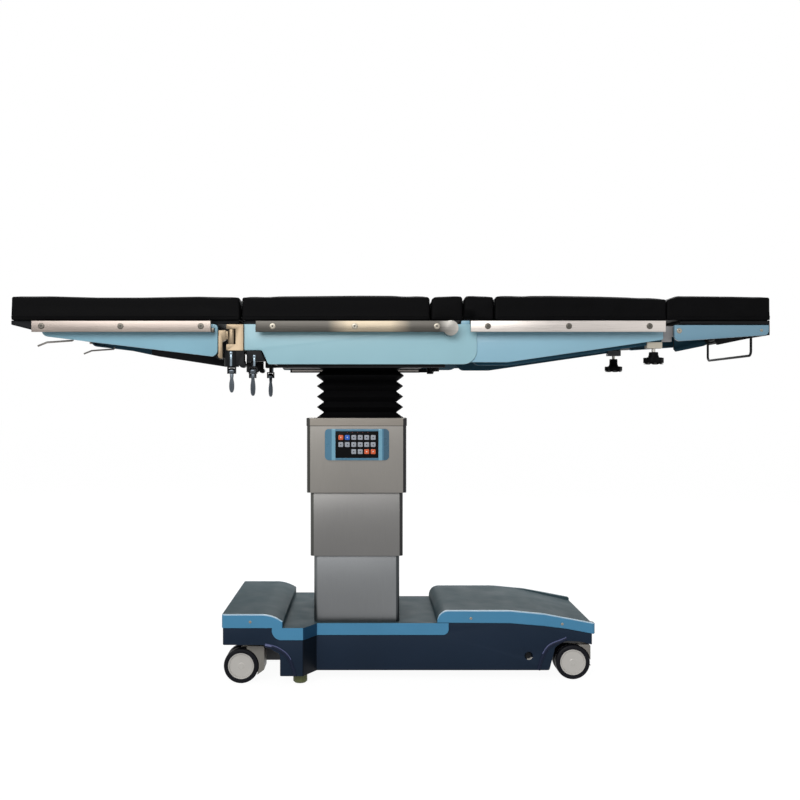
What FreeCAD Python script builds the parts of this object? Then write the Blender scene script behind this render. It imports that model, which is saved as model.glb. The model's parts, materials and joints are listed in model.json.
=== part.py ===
"""Mobile operating table: millimetres, +X to the head end, -Y to the patient's left, +Z up.

The origin is on the floor below the middle of the table top.
"""
import FreeCAD, Part
import math
import os

V = FreeCAD.Vector

# Table top
HALF_LENGTH = 1035.0
PAD_HALF_WIDTH = 250.0
PAD_BOTTOM = 997.5
PAD_TOP = 1061.5
PAD_CORNER = 12.0
PLATE_TOP = PAD_BOTTOM - 0.2
PLATE_BOTTOM = 987.5
PLATE_HALF_WIDTH = 236.0
PANEL_FACE = 243.0
BACK_PANEL_FACE = 238.5
PANEL_SHEET = 4.0
PANEL_DEPTH = 14.0
PANEL_TOP = 987.0

# Lengths along the table
LEG_PAD = (-1032.5, -412.0)
SEAT_PAD = (-404.0, 108.0)
KIDNEY_PAD = (110.0, 196.5)
LOWER_BACK_PAD = (199.0, 280.0)
BACK_PAD = (282.0, 747.0)
HEAD_PAD = (750.0, 1033.0)
LEG_SPLIT = 3.0

# Accessory rails
RAIL_FACE = 275.0
RAIL_THICKNESS = 10.0
RAIL_LOW = 963.7
RAIL_HIGH = 993.8
RAIL_AXIS_Z = 979.0
SPACER_RADIUS = 9.0
LEG_RAIL = (-967.0, -484.5)
SEAT_RAIL_START = -364.0
BACK_RAIL = (215.0, 740.0)
LEG_RAIL_SCREWS = (-940.0, -727.0, -511.0)
SEAT_RAIL_SCREWS = (-318.0, -97.0, 124.0)
BACK_RAIL_SCREWS = (261.0, 479.0, 696.0)

# Pivots of the sections
BACK_PIVOT = (161.4, 974.4)
BACK_PIN_RADIUS = 12.0
BACK_PIN_END = -207.0
HEAD_PIVOT = (786.0, 969.0)
HEAD_PIN_RADIUS = 8.0
SPREAD_PIN = (-433.0, -238.0)
SPREAD_PIN_RADIUS = 7.0
DROP_PIVOT = (-462.0, 901.0)
DROP_PIN_RADIUS = 4.0
PIN_CLEARANCE = 0.05

# Kidney bridge posts in their guides
BRIDGE_X = 131.0
BRIDGE_POST_Y = 120.0
BRIDGE_POST_RADIUS = 10.0

# Tilting head of the column
COLUMN_X = -93.0
TILT_Z = 840.0
TILT_PIN_RADIUS = 15.0
PAN_Z = 880.0

# Column covers and guides: half sizes along X and Y
COVER_CORNER = 11.0
COVER_SHEET = 2.5
LOWER_COVER = (119.5, 170.0, 160.0, 366.0)
MIDDLE_COVER = (129.0, 180.0, 346.0, 542.0)
UPPER_COVER = (138.5, 190.0, 523.0, 708.6)
COLLAR_TOP = 730.6
COLLAR_LIP = 1.5
LOWER_GUIDE = (85.0, 110.0, 48.0, 352.0)
MIDDLE_GUIDE = (76.5, 101.5, 210.0, 540.0)
UPPER_GUIDE = (68.0, 93.0, 372.0, 716.0)
GUIDE_WALL = 8.0
CYLINDER_RADIUS = 30.0
STAGE_RADIUS = 24.0
RAM_RADIUS = 16.0

# Bellows
BELLOWS_X = -84.0
BELLOWS_TIP = (123.0, 150.0)
BELLOWS_VALLEY = (103.5, 130.5)
BELLOWS_PLEATS = 5
BELLOWS_SHEET = 4.0
BELLOWS_CORNER = 20.0
BELLOWS_GAP = 0.3
BELLOWS_TOP = PAN_Z - BELLOWS_GAP

# Control panel on the near face of the upper cover
CONTROL_X = -92.0
BEZEL = (178.0, 87.0, 657.0)
BEZEL_THICKNESS = 8.0
KEYPAD = (119.0, 74.0, 658.0)
KEYPAD_THICKNESS = 2.0

# Base
FOOT_END_X = -460.0
HEAD_END_X = 571.0
WIDE_HALF = 245.0
NARROW_HALF = 186.0
WIDE_TO_X = -237.0
NARROW_FROM_X = -202.0
BASE_CORNER = 9.0
SHOULDER_CORNER = 5.0
SKIRT_INSET = 2.5
SKIRT_HEAD_X = 563.5
SKIRT_BOTTOM = 28.0
BAND_BOTTOM = 127.0
DECK_TOP = 160.0
SKIRT_WALL = 4.0
FOOT_BAY_ROOF = 113.0
HEAD_BAY_ROOF = 101.0
DECK_FROM_X = -323.0
DECK_TO_X = 163.0
DECK_STEPS = (26.0, 16.0)
FOOT_COVER_TOP = 197.0
FOOT_COVER_X = -293.0
HEAD_COVER_TOP = 195.0
HEAD_COVER_X = 131.0
HEAD_COVER_END = 159.0
COVER_WALL = 4.0
COVER_EDGE = 3.0
SCOOP_DEPTH = 8.0
SCOOP_HALF = 166.0
SOCKET_X = 386.0
SOCKET_Z = 68.5
SOCKET_RADIUS = 10.5

# Castors
WHEEL_RADIUS = 48.0
HUB_RADIUS = 36.0
WHEEL_WIDTH = 25.0
CASTOR_GAP = 8.0
CASTOR_TRAIL = 24.0
CASTOR_STEM_RADIUS = 8.0
AXLE_RADIUS = 5.0
FOOT_CASTOR = (-387.0, 182.0, FOOT_BAY_ROOF, 40.0)
HEAD_CASTOR = (535.0, 144.0, HEAD_BAY_ROOF, 25.0)

# Floor lock
LOCK_X = -249.0
LOCK_Y = 195.0
LOCK_RADIUS = 19.5
LOCK_HEIGHT = 28.0
LOCK_STEM_RADIUS = 8.0

# Clamps, levers and bail
POST_CLAMP_X = -375.0
HANDLE_PIVOT_Z = 859.0
HANDLE_HEAD_RADIUS = 8.5
CLEVIS_PIN_RADIUS = 2.5
SPREAD_HANDLE_TIP = 800.0
POST_HANDLE_TIP = 791.0
LEVER_PIVOT = (-868.0, 962.0)
LEVER_PIN_RADIUS = 4.0
LEVER_ROD_RADIUS = 2.6
HEAD_CLAMP = (724.0, 215.0)
KNOB_Z = (878.0, 896.0)
KNOB_LOBES = 6
KNOB_SCREW_RADIUS = 5.0
BAIL_X = 1010.0
BAIL_PIVOT_Z = 970.0
BAIL_GRIP_Z = 905.0
BAIL_SHAFT_RADIUS = 6.0
BAIL_HALF_WIDTH = 170.0
BAIL_ROD_RADIUS = 3.5


def rounded_wire(points, place):
    """Close a wire through (u, v, corner radius) points; place turns (u, v) into a 3-D point."""
    count = len(points)
    starts = []
    edges = []
    for i in range(count):
        u, v = points[i][:2]
        radius = points[i][2] if len(points[i]) > 2 else 0.0
        if radius == 0:
            starts.append((V(u, v, 0), V(u, v, 0), None))
            continue
        before = V(points[i - 1][0], points[i - 1][1], 0)
        after = V(points[(i + 1) % count][0], points[(i + 1) % count][1], 0)
        corner = V(u, v, 0)
        to_before = (before - corner).normalize()
        to_after = (after - corner).normalize()
        half = to_before.getAngle(to_after) / 2.0
        reach = radius / math.tan(half)
        bisector = (to_before + to_after).normalize()
        middle = corner + bisector * (radius / math.sin(half) - radius)
        starts.append((corner + to_before * reach, corner + to_after * reach, middle))
    for i in range(count):
        enter, leave, middle = starts[i]
        if middle is not None:
            arc = Part.Arc(place(enter.x, enter.y), place(middle.x, middle.y), place(leave.x, leave.y))
            edges.append(arc.toShape())
        following = starts[(i + 1) % count][0]
        if (following - leave).Length > 1e-6:
            edges.append(Part.makeLine(place(leave.x, leave.y), place(following.x, following.y)))
    return Part.Wire(edges)


def slab_xz(points, y0, y1):
    """Extrude a side-view outline of (x, z, radius) points from y0 to y1."""
    wire = rounded_wire(points, lambda u, v: V(u, y0, v))
    return Part.Face(wire).extrude(V(0, y1 - y0, 0))


def slab_xy(points, z0, z1):
    """Extrude a plan outline of (x, y, radius) points from z0 to z1."""
    wire = rounded_wire(points, lambda u, v: V(u, v, z0))
    return Part.Face(wire).extrude(V(0, 0, z1 - z0))


def slab_yz(points, x0, x1):
    """Extrude an end-view outline of (y, z, radius) points from x0 to x1."""
    wire = rounded_wire(points, lambda u, v: V(x0, u, v))
    return Part.Face(wire).extrude(V(x1 - x0, 0, 0))


def box(x0, x1, y0, y1, z0, z1):
    return Part.makeBox(x1 - x0, y1 - y0, z1 - z0, V(x0, y0, z0))


def rod_x(x0, x1, y, z, radius):
    return Part.makeCylinder(radius, x1 - x0, V(x0, y, z), V(1, 0, 0))


def rod_y(y0, y1, x, z, radius):
    return Part.makeCylinder(radius, y1 - y0, V(x, y0, z), V(0, 1, 0))


def rod_z(z0, z1, x, y, radius):
    return Part.makeCylinder(radius, z1 - z0, V(x, y, z0), V(0, 0, 1))


def bent_rod(points, radius, bend):
    """Sweep a round bar along straight runs joined by arcs of one bend radius."""
    corners = [V(*p) for p in points]
    edges = []
    last = corners[0]
    for i in range(1, len(corners) - 1):
        back = (corners[i - 1] - corners[i]).normalize()
        ahead = (corners[i + 1] - corners[i]).normalize()
        half = back.getAngle(ahead) / 2.0
        reach = bend / math.tan(half)
        middle = corners[i] + (back + ahead).normalize() * (bend / math.sin(half) - bend)
        enter = corners[i] + back * reach
        leave = corners[i] + ahead * reach
        edges.append(Part.makeLine(last, enter))
        edges.append(Part.Arc(enter, middle, leave).toShape())
        last = leave
    edges.append(Part.makeLine(last, corners[-1]))
    path = Part.Wire(edges)
    circle = Part.Wire(Part.makeCircle(radius, corners[0], corners[1] - corners[0]))
    return path.makePipeShell([circle], True, False)


def across(shape):
    """Mirror to the patient's right side."""
    return shape.mirror(V(0, 0, 0), V(0, 1, 0))


def both_sides(shape):
    return [shape, across(shape)]


def fuse(parts):
    whole = parts[0].multiFuse(parts[1:]) if len(parts) > 1 else parts[0]
    return whole.removeSplitter()


def tower(half_x, half_y, z0, z1, corner, centre_x=COLUMN_X):
    """Upright block with a rounded rectangular plan."""
    corners = [(-half_x, -half_y), (half_x, -half_y), (half_x, half_y), (-half_x, half_y)]
    return slab_xy([(centre_x + x, y, corner) for x, y in corners], z0, z1)


def sleeve(size, wall, corner):
    """Open upright tube with a rounded rectangular plan."""
    half_x, half_y, z0, z1 = size
    outside = tower(half_x, half_y, z0, z1, corner)
    inside = tower(half_x - wall, half_y - wall, z0 - 1, z1 + 1, max(corner - wall, 1.0))
    return outside.cut(inside)


def pad(x_range, y0, y1, bevel=None):
    """Plain closed cushion with rounded upright and top edges."""
    x0, x1 = x_range
    cushion = box(x0, x1, y0, y1, PAD_BOTTOM, PAD_TOP)
    upright = [e for e in cushion.Edges if abs(e.Vertexes[0].Z - e.Vertexes[1].Z) > 1]
    cushion = cushion.makeFillet(PAD_CORNER, upright)
    top = [e for e in cushion.Edges if min(v.Z for v in e.Vertexes) > PAD_TOP - 0.01]
    cushion = cushion.makeFillet(PAD_CORNER / 2.0, top)
    if bevel:
        length, drop = bevel
        wedge = slab_xz([(x0 - 1, PAD_TOP + 1), (x0 - 1, PAD_TOP - drop), (x0, PAD_TOP - drop),
                         (x0 + length, PAD_TOP), (x0 + length, PAD_TOP + 1)], y0 - 1, y1 + 1)
        cushion = cushion.cut(wedge)
    return cushion


def side_panel(points, inner_points, y_face=PANEL_FACE, depth=PANEL_DEPTH):
    """Moulded side cover on the left: a face sheet with a returned edge, open towards the middle."""
    cover = slab_xz(points, -y_face, -y_face + depth)
    hollow = slab_xz(inner_points, -y_face + PANEL_SHEET, -y_face + depth + 1)
    return cover.cut(hollow)


def rail(x0, x1, screws, round_end=None):
    """Stainless accessory rail on the left, held off its panel by round spacers."""
    outline = [(x0, RAIL_LOW), (x1, RAIL_LOW), (x1, RAIL_HIGH), (x0, RAIL_HIGH)]
    y0 = -RAIL_FACE
    y1 = -RAIL_FACE + RAIL_THICKNESS
    bar = slab_xz(outline, y0, y1)
    bar = bar.makeChamfer(1.0, [e for e in bar.Edges if abs(e.Vertexes[0].Y - y0) < 0.01
                                and abs(e.Vertexes[-1].Y - y0) < 0.01])
    parts = [bar]
    if round_end:
        x, z, radius = round_end
        parts.append(rod_y(y0, -PANEL_FACE, x, z, radius))
    for x in screws:
        parts.append(rod_y(y1, -PANEL_FACE, x, RAIL_AXIS_Z, SPACER_RADIUS))
    return fuse(parts)


def base_plan(inset, z0, z1, head_x=HEAD_END_X):
    """T-shaped plan of the base, shrunk by inset."""
    wide = WIDE_HALF - inset
    narrow = NARROW_HALF - inset
    corner = max(BASE_CORNER - inset, 1.0)
    left = FOOT_END_X + inset
    right = head_x - inset
    slant = 0.45 * inset
    shoulder = WIDE_TO_X - slant
    neck = NARROW_FROM_X - slant
    half = [(left, -wide, corner), (shoulder, -wide, SHOULDER_CORNER), (neck, -narrow, SHOULDER_CORNER),
            (right, -narrow, corner)]
    other = [(x, -y, r) for x, y, r in reversed(half)]
    return slab_xy(half + other, z0, z1)


def through(points):
    """Side-view outline that passes across the whole width of the base."""
    return slab_xz(points, -WIDE_HALF - 20.0, WIDE_HALF + 20.0)


def head_cover_foot():
    """Lower edge of the raised head cover, from the deck to the head end."""
    return [(334.0, 158.6, 60.0), (428.0, 151.0, 60.0), (493.0, 143.0, 60.0), (HEAD_END_X + 1, 128.0)]


def base_skirt():
    """Dark lower shell, a little inside the covers, with open castor bays at both ends."""
    head_x = SKIRT_HEAD_X + SKIRT_INSET
    outside = base_plan(SKIRT_INSET, SKIRT_BOTTOM, DECK_TOP, head_x)
    ring = outside.cut(base_plan(SKIRT_INSET + SKIRT_WALL, 0.0, DECK_TOP + 1, head_x))
    foot_arch = [(FOOT_END_X - 1, FOOT_BAY_ROOF), (-348.0, FOOT_BAY_ROOF, 20.0), (-301.0, 88.0, 12.0),
                 (-301.0, SKIRT_BOTTOM, 3.0)]
    head_arch = [(444.0, SKIRT_BOTTOM, 6.0), (460.0, 92.0, 16.0), (486.0, 110.0, 24.0), (530.0, 108.0, 40.0),
                 (SKIRT_HEAD_X + 1, 98.5)]
    top = [(HEAD_END_X + 1, 98.5)] + head_cover_foot()[::-1]
    step = [(DECK_TO_X, DECK_TOP), (DECK_TO_X, BAND_BOTTOM, DECK_STEPS[1]),
            (DECK_FROM_X, BAND_BOTTOM, DECK_STEPS[0]), (DECK_FROM_X, DECK_TOP), (FOOT_END_X - 1, DECK_TOP)]
    skirt = ring.common(through(foot_arch + head_arch + top + step))
    face = -NARROW_HALF + SKIRT_INSET
    return skirt.cut(rod_y(face - 5, face + SKIRT_WALL + 5, SOCKET_X, SOCKET_Z, SOCKET_RADIUS))


def base_deck():
    """Blue band and deck between the two raised covers, open where the column passes."""
    block = base_plan(0.0, BAND_BOTTOM, DECK_TOP).cut(base_plan(SKIRT_WALL, 0.0, DECK_TOP - COVER_WALL))
    deck = block.common(through([
        (DECK_FROM_X, DECK_TOP), (DECK_FROM_X, BAND_BOTTOM, DECK_STEPS[0]),
        (DECK_TO_X, BAND_BOTTOM, DECK_STEPS[1]), (DECK_TO_X, DECK_TOP),
    ]))
    half_x = LOWER_COVER[0] - COVER_SHEET
    half_y = LOWER_COVER[1] - COVER_SHEET
    return deck.cut(tower(half_x, half_y, BAND_BOTTOM - 1, DECK_TOP + 1, COVER_CORNER - COVER_SHEET))


def cover_shell(profile, inner_profile):
    """Raised cover that follows the plan of the base, open below."""
    tall = FOOT_COVER_TOP + 10.0
    outside = base_plan(0.0, SKIRT_BOTTOM, tall).common(through(profile))
    inside = base_plan(COVER_WALL, 0.0, tall).common(through(inner_profile))
    return outside.cut(inside)


def rim_edges(cover, half, low):
    """Upper edges of a cover along its two long sides, above a height."""
    found = []
    for edge in cover.Edges:
        ends = edge.Vertexes
        on_side = min(abs(v.Y) for v in ends) > half - 0.01
        along = abs(ends[0].X - ends[-1].X) > 0.5
        if on_side and along and min(v.Z for v in ends) > low:
            found.append(edge)
    return found


def foot_end_cover():
    top = FOOT_COVER_TOP
    x0 = FOOT_END_X - 1
    x1 = FOOT_COVER_X
    profile = [(x0, DECK_TOP), (x1, DECK_TOP), (x1, 178.0, 2.0), (-325.0, top, 106.0), (x0, top)]
    x1 -= COVER_WALL
    inner = [(x0, DECK_TOP - 1), (x1, DECK_TOP - 1), (x1, 175.0), (-326.0, top - COVER_WALL, 90.0),
             (x0, top - COVER_WALL)]
    cover = cover_shell(profile, inner)
    return cover.makeFillet(COVER_EDGE, rim_edges(cover, WIDE_HALF, 176.0))


def head_end_cover():
    """Long cover that falls to the head end, with a shallow scoop between its side rims."""
    top = HEAD_COVER_TOP
    end = HEAD_COVER_END
    x0 = HEAD_COVER_X
    x1 = HEAD_END_X + 1
    lower = [(DECK_TO_X + 1.0, DECK_TOP)] + head_cover_foot()
    fall = [(x1, end), (491.0, 174.5, 150.0), (428.0, 186.0, 150.0), (330.0, top, 250.0)]
    profile = [(x0, DECK_TOP)] + lower + fall + [(x0, top, 30.0)]
    floor = [(x1, end - SCOOP_DEPTH), (491.0, 169.5, 150.0), (428.0, 184.0, 150.0), (390.0, 190.0)]
    bottom = SKIRT_BOTTOM + 1
    inner = [(x0 + COVER_WALL, bottom), (x1, bottom), (x1, end - SCOOP_DEPTH - COVER_WALL),
             (491.0, 169.5 - COVER_WALL, 150.0), (428.0, 184.0 - COVER_WALL, 150.0),
             (330.0, top - COVER_WALL - 1.0, 250.0), (x0 + COVER_WALL, top - COVER_WALL - 1.0, 26.0)]
    cover = cover_shell(profile, inner)
    scoop = slab_xz(floor + [(390.0, top + 5.0), (x1, top + 5.0)], -SCOOP_HALF, SCOOP_HALF)
    cover = cover.makeFillet(COVER_EDGE, rim_edges(cover, NARROW_HALF, DECK_TOP - 2.0))
    return cover.cut(scoop)


def base_chassis():
    """Welded frame: floor plate, castor beams at both ends and two long channels."""
    plate_z = (42.0, 48.0)
    floor_plate = box(-298.0, 438.0, -176.0, 176.0, *plate_z)
    lock_beam = box(-298.0, -240.0, -228.0, 228.0, *plate_z)
    foot_beam = box(-448.0, -240.0, -225.0, 225.0, FOOT_BAY_ROOF, FOOT_BAY_ROOF + 12.0)
    head_beam = box(430.0, 555.0, -168.0, 168.0, HEAD_BAY_ROOF, HEAD_BAY_ROOF + 12.0)
    trough = box(-440.0, -298.0, -98.0, 98.0, 34.0, FOOT_BAY_ROOF)
    trough = trough.cut(box(-437.0, -297.0, -95.0, 95.0, 37.0, FOOT_BAY_ROOF))
    parts = [floor_plate, lock_beam, foot_beam, head_beam, trough]
    for y in (-160.0, 152.0):
        parts.append(box(-296.0, 436.0, y, y + 8.0, plate_z[1], 113.0))
        parts.append(box(428.0, 436.0, y, y + 8.0, plate_z[1], HEAD_BAY_ROOF))
        parts.append(box(-300.0, -240.0, y, y + 8.0, plate_z[1], FOOT_BAY_ROOF))
    chassis = fuse(parts)
    for y in (-LOCK_Y, LOCK_Y):
        chassis = chassis.cut(rod_z(30.0, 60.0, LOCK_X, y, LOCK_STEM_RADIUS + PIN_CLEARANCE))
    for x, y, roof, _ in (FOOT_CASTOR, HEAD_CASTOR):
        for side in (-y, y):
            chassis = chassis.cut(rod_z(roof - 1, roof + 13, x, side, CASTOR_STEM_RADIUS + PIN_CLEARANCE))
    return chassis


def power_unit():
    """Hydraulic pump with its tank and motor, beside two batteries."""
    tank = box(150.0, 290.0, -60.0, 60.0, 48.0, 130.0)
    tank = tank.makeFillet(6.0, [e for e in tank.Edges if abs(e.Vertexes[0].Z - e.Vertexes[-1].Z) > 1])
    motor = rod_x(290.0, 410.0, 0.0, 90.0, 36.0)
    valve_block = box(110.0, 150.0, -40.0, 40.0, 48.0, 100.0)
    batteries = [box(180.0, 340.0, y, y + 66.0, 48.0, 118.0) for y in (-142.0, 76.0)]
    return Part.makeCompound([fuse([tank, motor, valve_block])] + batteries)


def castor_housing(place, side):
    """Swivelling cast body: a web between the twin wheels and a hood behind them."""
    x, y, roof, reach = place
    y = side * y
    axle_x = x - CASTOR_TRAIL
    top = WHEEL_RADIUS * 2 + 2.0
    half = CASTOR_GAP - 1.0
    web = slab_xz([(axle_x - 14.0, 36.0, 12.0), (axle_x + 14.0, 36.0, 12.0), (x + 17.0, 80.0, 18.0),
                   (x + 17.0, top), (axle_x - 6.0, top, 14.0)], y - half, y + half)
    hood_top = min(roof - 3.5, top + 5.0)
    hood_half = CASTOR_GAP + WHEEL_WIDTH - 2.0
    hood = slab_xz([(x - 8.0, hood_top, 2.0), (x - 8.0, 70.0), (x, 25.0), (x + reach - 18.0, 25.0, 4.0),
                    (x + reach, 38.0, 4.0), (x + reach, hood_top, 5.0)], y - hood_half, y + hood_half)
    for way in (-1, 1):
        inner = y + way * half
        outer = y + way * (hood_half + 1.0)
        bay = rod_y(min(inner, outer), max(inner, outer), axle_x, WHEEL_RADIUS, WHEEL_RADIUS + 1.5)
        hood = hood.cut(bay)
    ring = rod_z(top, roof - 0.3, x, y, 22.0)
    stem = rod_z(top, roof + 11.0, x, y, CASTOR_STEM_RADIUS)
    housing = fuse([web, hood, ring, stem])
    return housing.cut(rod_y(y - 20, y + 20, axle_x, WHEEL_RADIUS, AXLE_RADIUS + PIN_CLEARANCE))


def castor_wheels(place, side):
    """Twin tyres on hubs that share one axle."""
    axle_x = place[0] - CASTOR_TRAIL
    y = side * place[1]
    centre = V(axle_x, y, WHEEL_RADIUS)
    solids = [rod_y(y - CASTOR_GAP - 2, y + CASTOR_GAP + 2, axle_x, WHEEL_RADIUS, AXLE_RADIUS)]
    tyres = []
    for way in (-1, 1):
        inner = y + way * CASTOR_GAP
        outer = inner + way * WHEEL_WIDTH
        tyre = [(HUB_RADIUS, inner), (WHEEL_RADIUS, inner), (WHEEL_RADIUS, outer), (HUB_RADIUS, outer)]
        tyres.append(turned(tyre, centre, 5.0))
        hub = [(0.0, inner), (HUB_RADIUS, inner), (HUB_RADIUS, outer - way * 1.0), (HUB_RADIUS - 4.0, outer),
               (HUB_RADIUS - 9.0, outer), (HUB_RADIUS - 13.0, outer - way * 3.0), (14.0, outer - way * 4.0),
               (11.0, outer - way * 1.0), (0.0, outer - way * 1.0)]
        solids.append(turned(hub, centre, 0.0))
    return Part.makeCompound([fuse(solids)] + tyres)


def turned(profile, centre, corner):
    """Revolve (radius, y) points about an axle along Y; the outer corners are rounded."""
    points = [V(centre.x + r, y, centre.z) for r, y in profile]
    face = Part.Face(Part.makePolygon(points + [points[0]]))
    solid = face.revolve(V(centre.x, 0, centre.z), V(0, 1, 0), 360)
    if corner:
        outer = max(r for r, _ in profile)
        rim = [e for e in solid.Edges if hasattr(e.Curve, "Radius") and abs(e.Curve.Radius - outer) < 0.01]
        solid = solid.makeFillet(corner, rim)
    return solid


def floor_lock_feet():
    feet = []
    for y in (-LOCK_Y, LOCK_Y):
        foot = Part.makeCone(LOCK_RADIUS - 4.0, LOCK_RADIUS, 4.0, V(LOCK_X, y, 0))
        body = rod_z(4.0, LOCK_HEIGHT, LOCK_X, y, LOCK_RADIUS)
        stem = rod_z(LOCK_HEIGHT, 98.0, LOCK_X, y, LOCK_STEM_RADIUS)
        feet.append(fuse([foot, body, stem]))
    return Part.makeCompound(feet)


def column_cover_upper():
    """Upper cover with its collar and closed top, open below."""
    half_x, half_y, z0, z1 = UPPER_COVER
    shell = sleeve((half_x, half_y, z0, z1), COVER_SHEET, COVER_CORNER)
    lip = tower(half_x + COLLAR_LIP, half_y + COLLAR_LIP, z1, COLLAR_TOP, COVER_CORNER + COLLAR_LIP)
    lip = lip.makeFillet(1.2, [e for e in lip.Edges if min(v.Z for v in e.Vertexes) > COLLAR_TOP - 0.01])
    lip = lip.cut(tower(half_x - COVER_SHEET, half_y - COVER_SHEET, z1 - 1, COLLAR_TOP - 4.0, 8.0))
    lip = lip.cut(tower(75.0, 105.0, z1, COLLAR_TOP + 5, 8.0))
    return fuse([shell, lip])


def lift_cylinder():
    barrel = rod_z(48.0, 345.0, COLUMN_X, 0, CYLINDER_RADIUS)
    bore = rod_z(60.0, 346.0, COLUMN_X, 0, STAGE_RADIUS + PIN_CLEARANCE)
    gland = rod_z(330.0, 345.0, COLUMN_X, 0, CYLINDER_RADIUS + 5.0).cut(bore)
    return fuse([barrel.cut(bore), gland])


def lift_stage():
    """Second stage of the lift cylinder, carried by the oil at half the stroke."""
    tube = rod_z(222.0, 520.0, COLUMN_X, 0, STAGE_RADIUS)
    return tube.cut(rod_z(221.0, 521.0, COLUMN_X, 0, RAM_RADIUS + PIN_CLEARANCE))


def lift_ram():
    return rod_z(384.0, UPPER_GUIDE[3], COLUMN_X, 0, RAM_RADIUS)


def lift_guide_upper():
    """Inner column, its closed head plate and the yoke that carries the tilting cross."""
    tube = sleeve(UPPER_GUIDE, GUIDE_WALL, 6.0)
    plate = tower(74.0, 104.0, UPPER_GUIDE[3], COLLAR_TOP, 8.0)
    ears = []
    for side in (-1, 1):
        y0 = min(side * 70.0, side * 90.0)
        outline = [(COLUMN_X - 40.0, COLLAR_TOP), (COLUMN_X + 40.0, COLLAR_TOP),
                   (COLUMN_X + 28.0, TILT_Z + 30.0, 26.0), (COLUMN_X - 28.0, TILT_Z + 30.0, 26.0)]
        ear = slab_xz(outline, y0, y0 + 20.0)
        ears.append(ear.cut(rod_y(y0 - 1, y0 + 21, COLUMN_X, TILT_Z, TILT_PIN_RADIUS + PIN_CLEARANCE)))
    return fuse([tube, plate] + ears)


def tilt_cross():
    """Cross with one pin for pitch and one for roll."""
    block = box(COLUMN_X - 42.0, COLUMN_X + 42.0, -60.0, 60.0, TILT_Z - 30.0, TILT_Z + 30.0)
    block = block.makeChamfer(6.0, [e for e in block.Edges if abs(e.Vertexes[0].Z - e.Vertexes[-1].Z) > 1])
    pitch_pin = rod_y(-95.0, 95.0, COLUMN_X, TILT_Z, TILT_PIN_RADIUS)
    roll_pin = rod_x(COLUMN_X - 72.0, COLUMN_X + 72.0, 0.0, TILT_Z, TILT_PIN_RADIUS)
    return fuse([block, pitch_pin, roll_pin])


def rectangle_wire(half_x, half_y, z, corner):
    points = [(-half_x, -half_y), (half_x, -half_y), (half_x, half_y), (-half_x, half_y)]
    return rounded_wire([(BELLOWS_X + x, y, corner) for x, y in points], lambda u, v: V(u, v, z))


def pleated_block(shrink, z0, z1):
    """Loft through the alternating tips and valleys of the bellows."""
    bottom = COLLAR_TOP + BELLOWS_GAP
    step = (BELLOWS_TOP - bottom) / (2 * BELLOWS_PLEATS)
    wires = []
    for i in range(2 * BELLOWS_PLEATS + 1):
        half_x, half_y = BELLOWS_TIP if i % 2 == 0 else BELLOWS_VALLEY
        z = bottom + i * step
        wires.append(rectangle_wire(half_x - shrink, half_y - shrink, z, BELLOWS_CORNER - shrink))
    wires[0].translate(V(0, 0, z0))
    wires[-1].translate(V(0, 0, z1))
    return Part.makeLoft(wires, True, True)


def bellows():
    return pleated_block(0.0, 0.0, 0.0).cut(pleated_block(BELLOWS_SHEET, -1.0, 1.0))


def control_bezel():
    width, height, z = BEZEL
    y0 = -UPPER_COVER[1] - BEZEL_THICKNESS
    corners = [(-1, -1), (1, -1), (1, 1), (-1, 1)]
    outline = [(CONTROL_X + sx * width / 2, z + sz * height / 2, 11.0) for sx, sz in corners]
    plate = slab_xz(outline, y0, -UPPER_COVER[1])
    rim = [e for e in plate.Edges if max(v.Y for v in e.Vertexes) < y0 + 0.01]
    plate = plate.makeFillet(3.0, rim)
    return plate.cut(keypad_block(0.2, KEYPAD_THICKNESS + 1))


def keypad_block(gap, depth):
    width, height, z = KEYPAD
    y1 = -UPPER_COVER[1] - BEZEL_THICKNESS + KEYPAD_THICKNESS
    corners = [(-1, -1), (1, -1), (1, 1), (-1, 1)]
    outline = [(CONTROL_X + sx * (width / 2 + gap), z + sz * (height / 2 + gap), 3.0) for sx, sz in corners]
    return slab_xz(outline, y1 - depth, y1)


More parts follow.
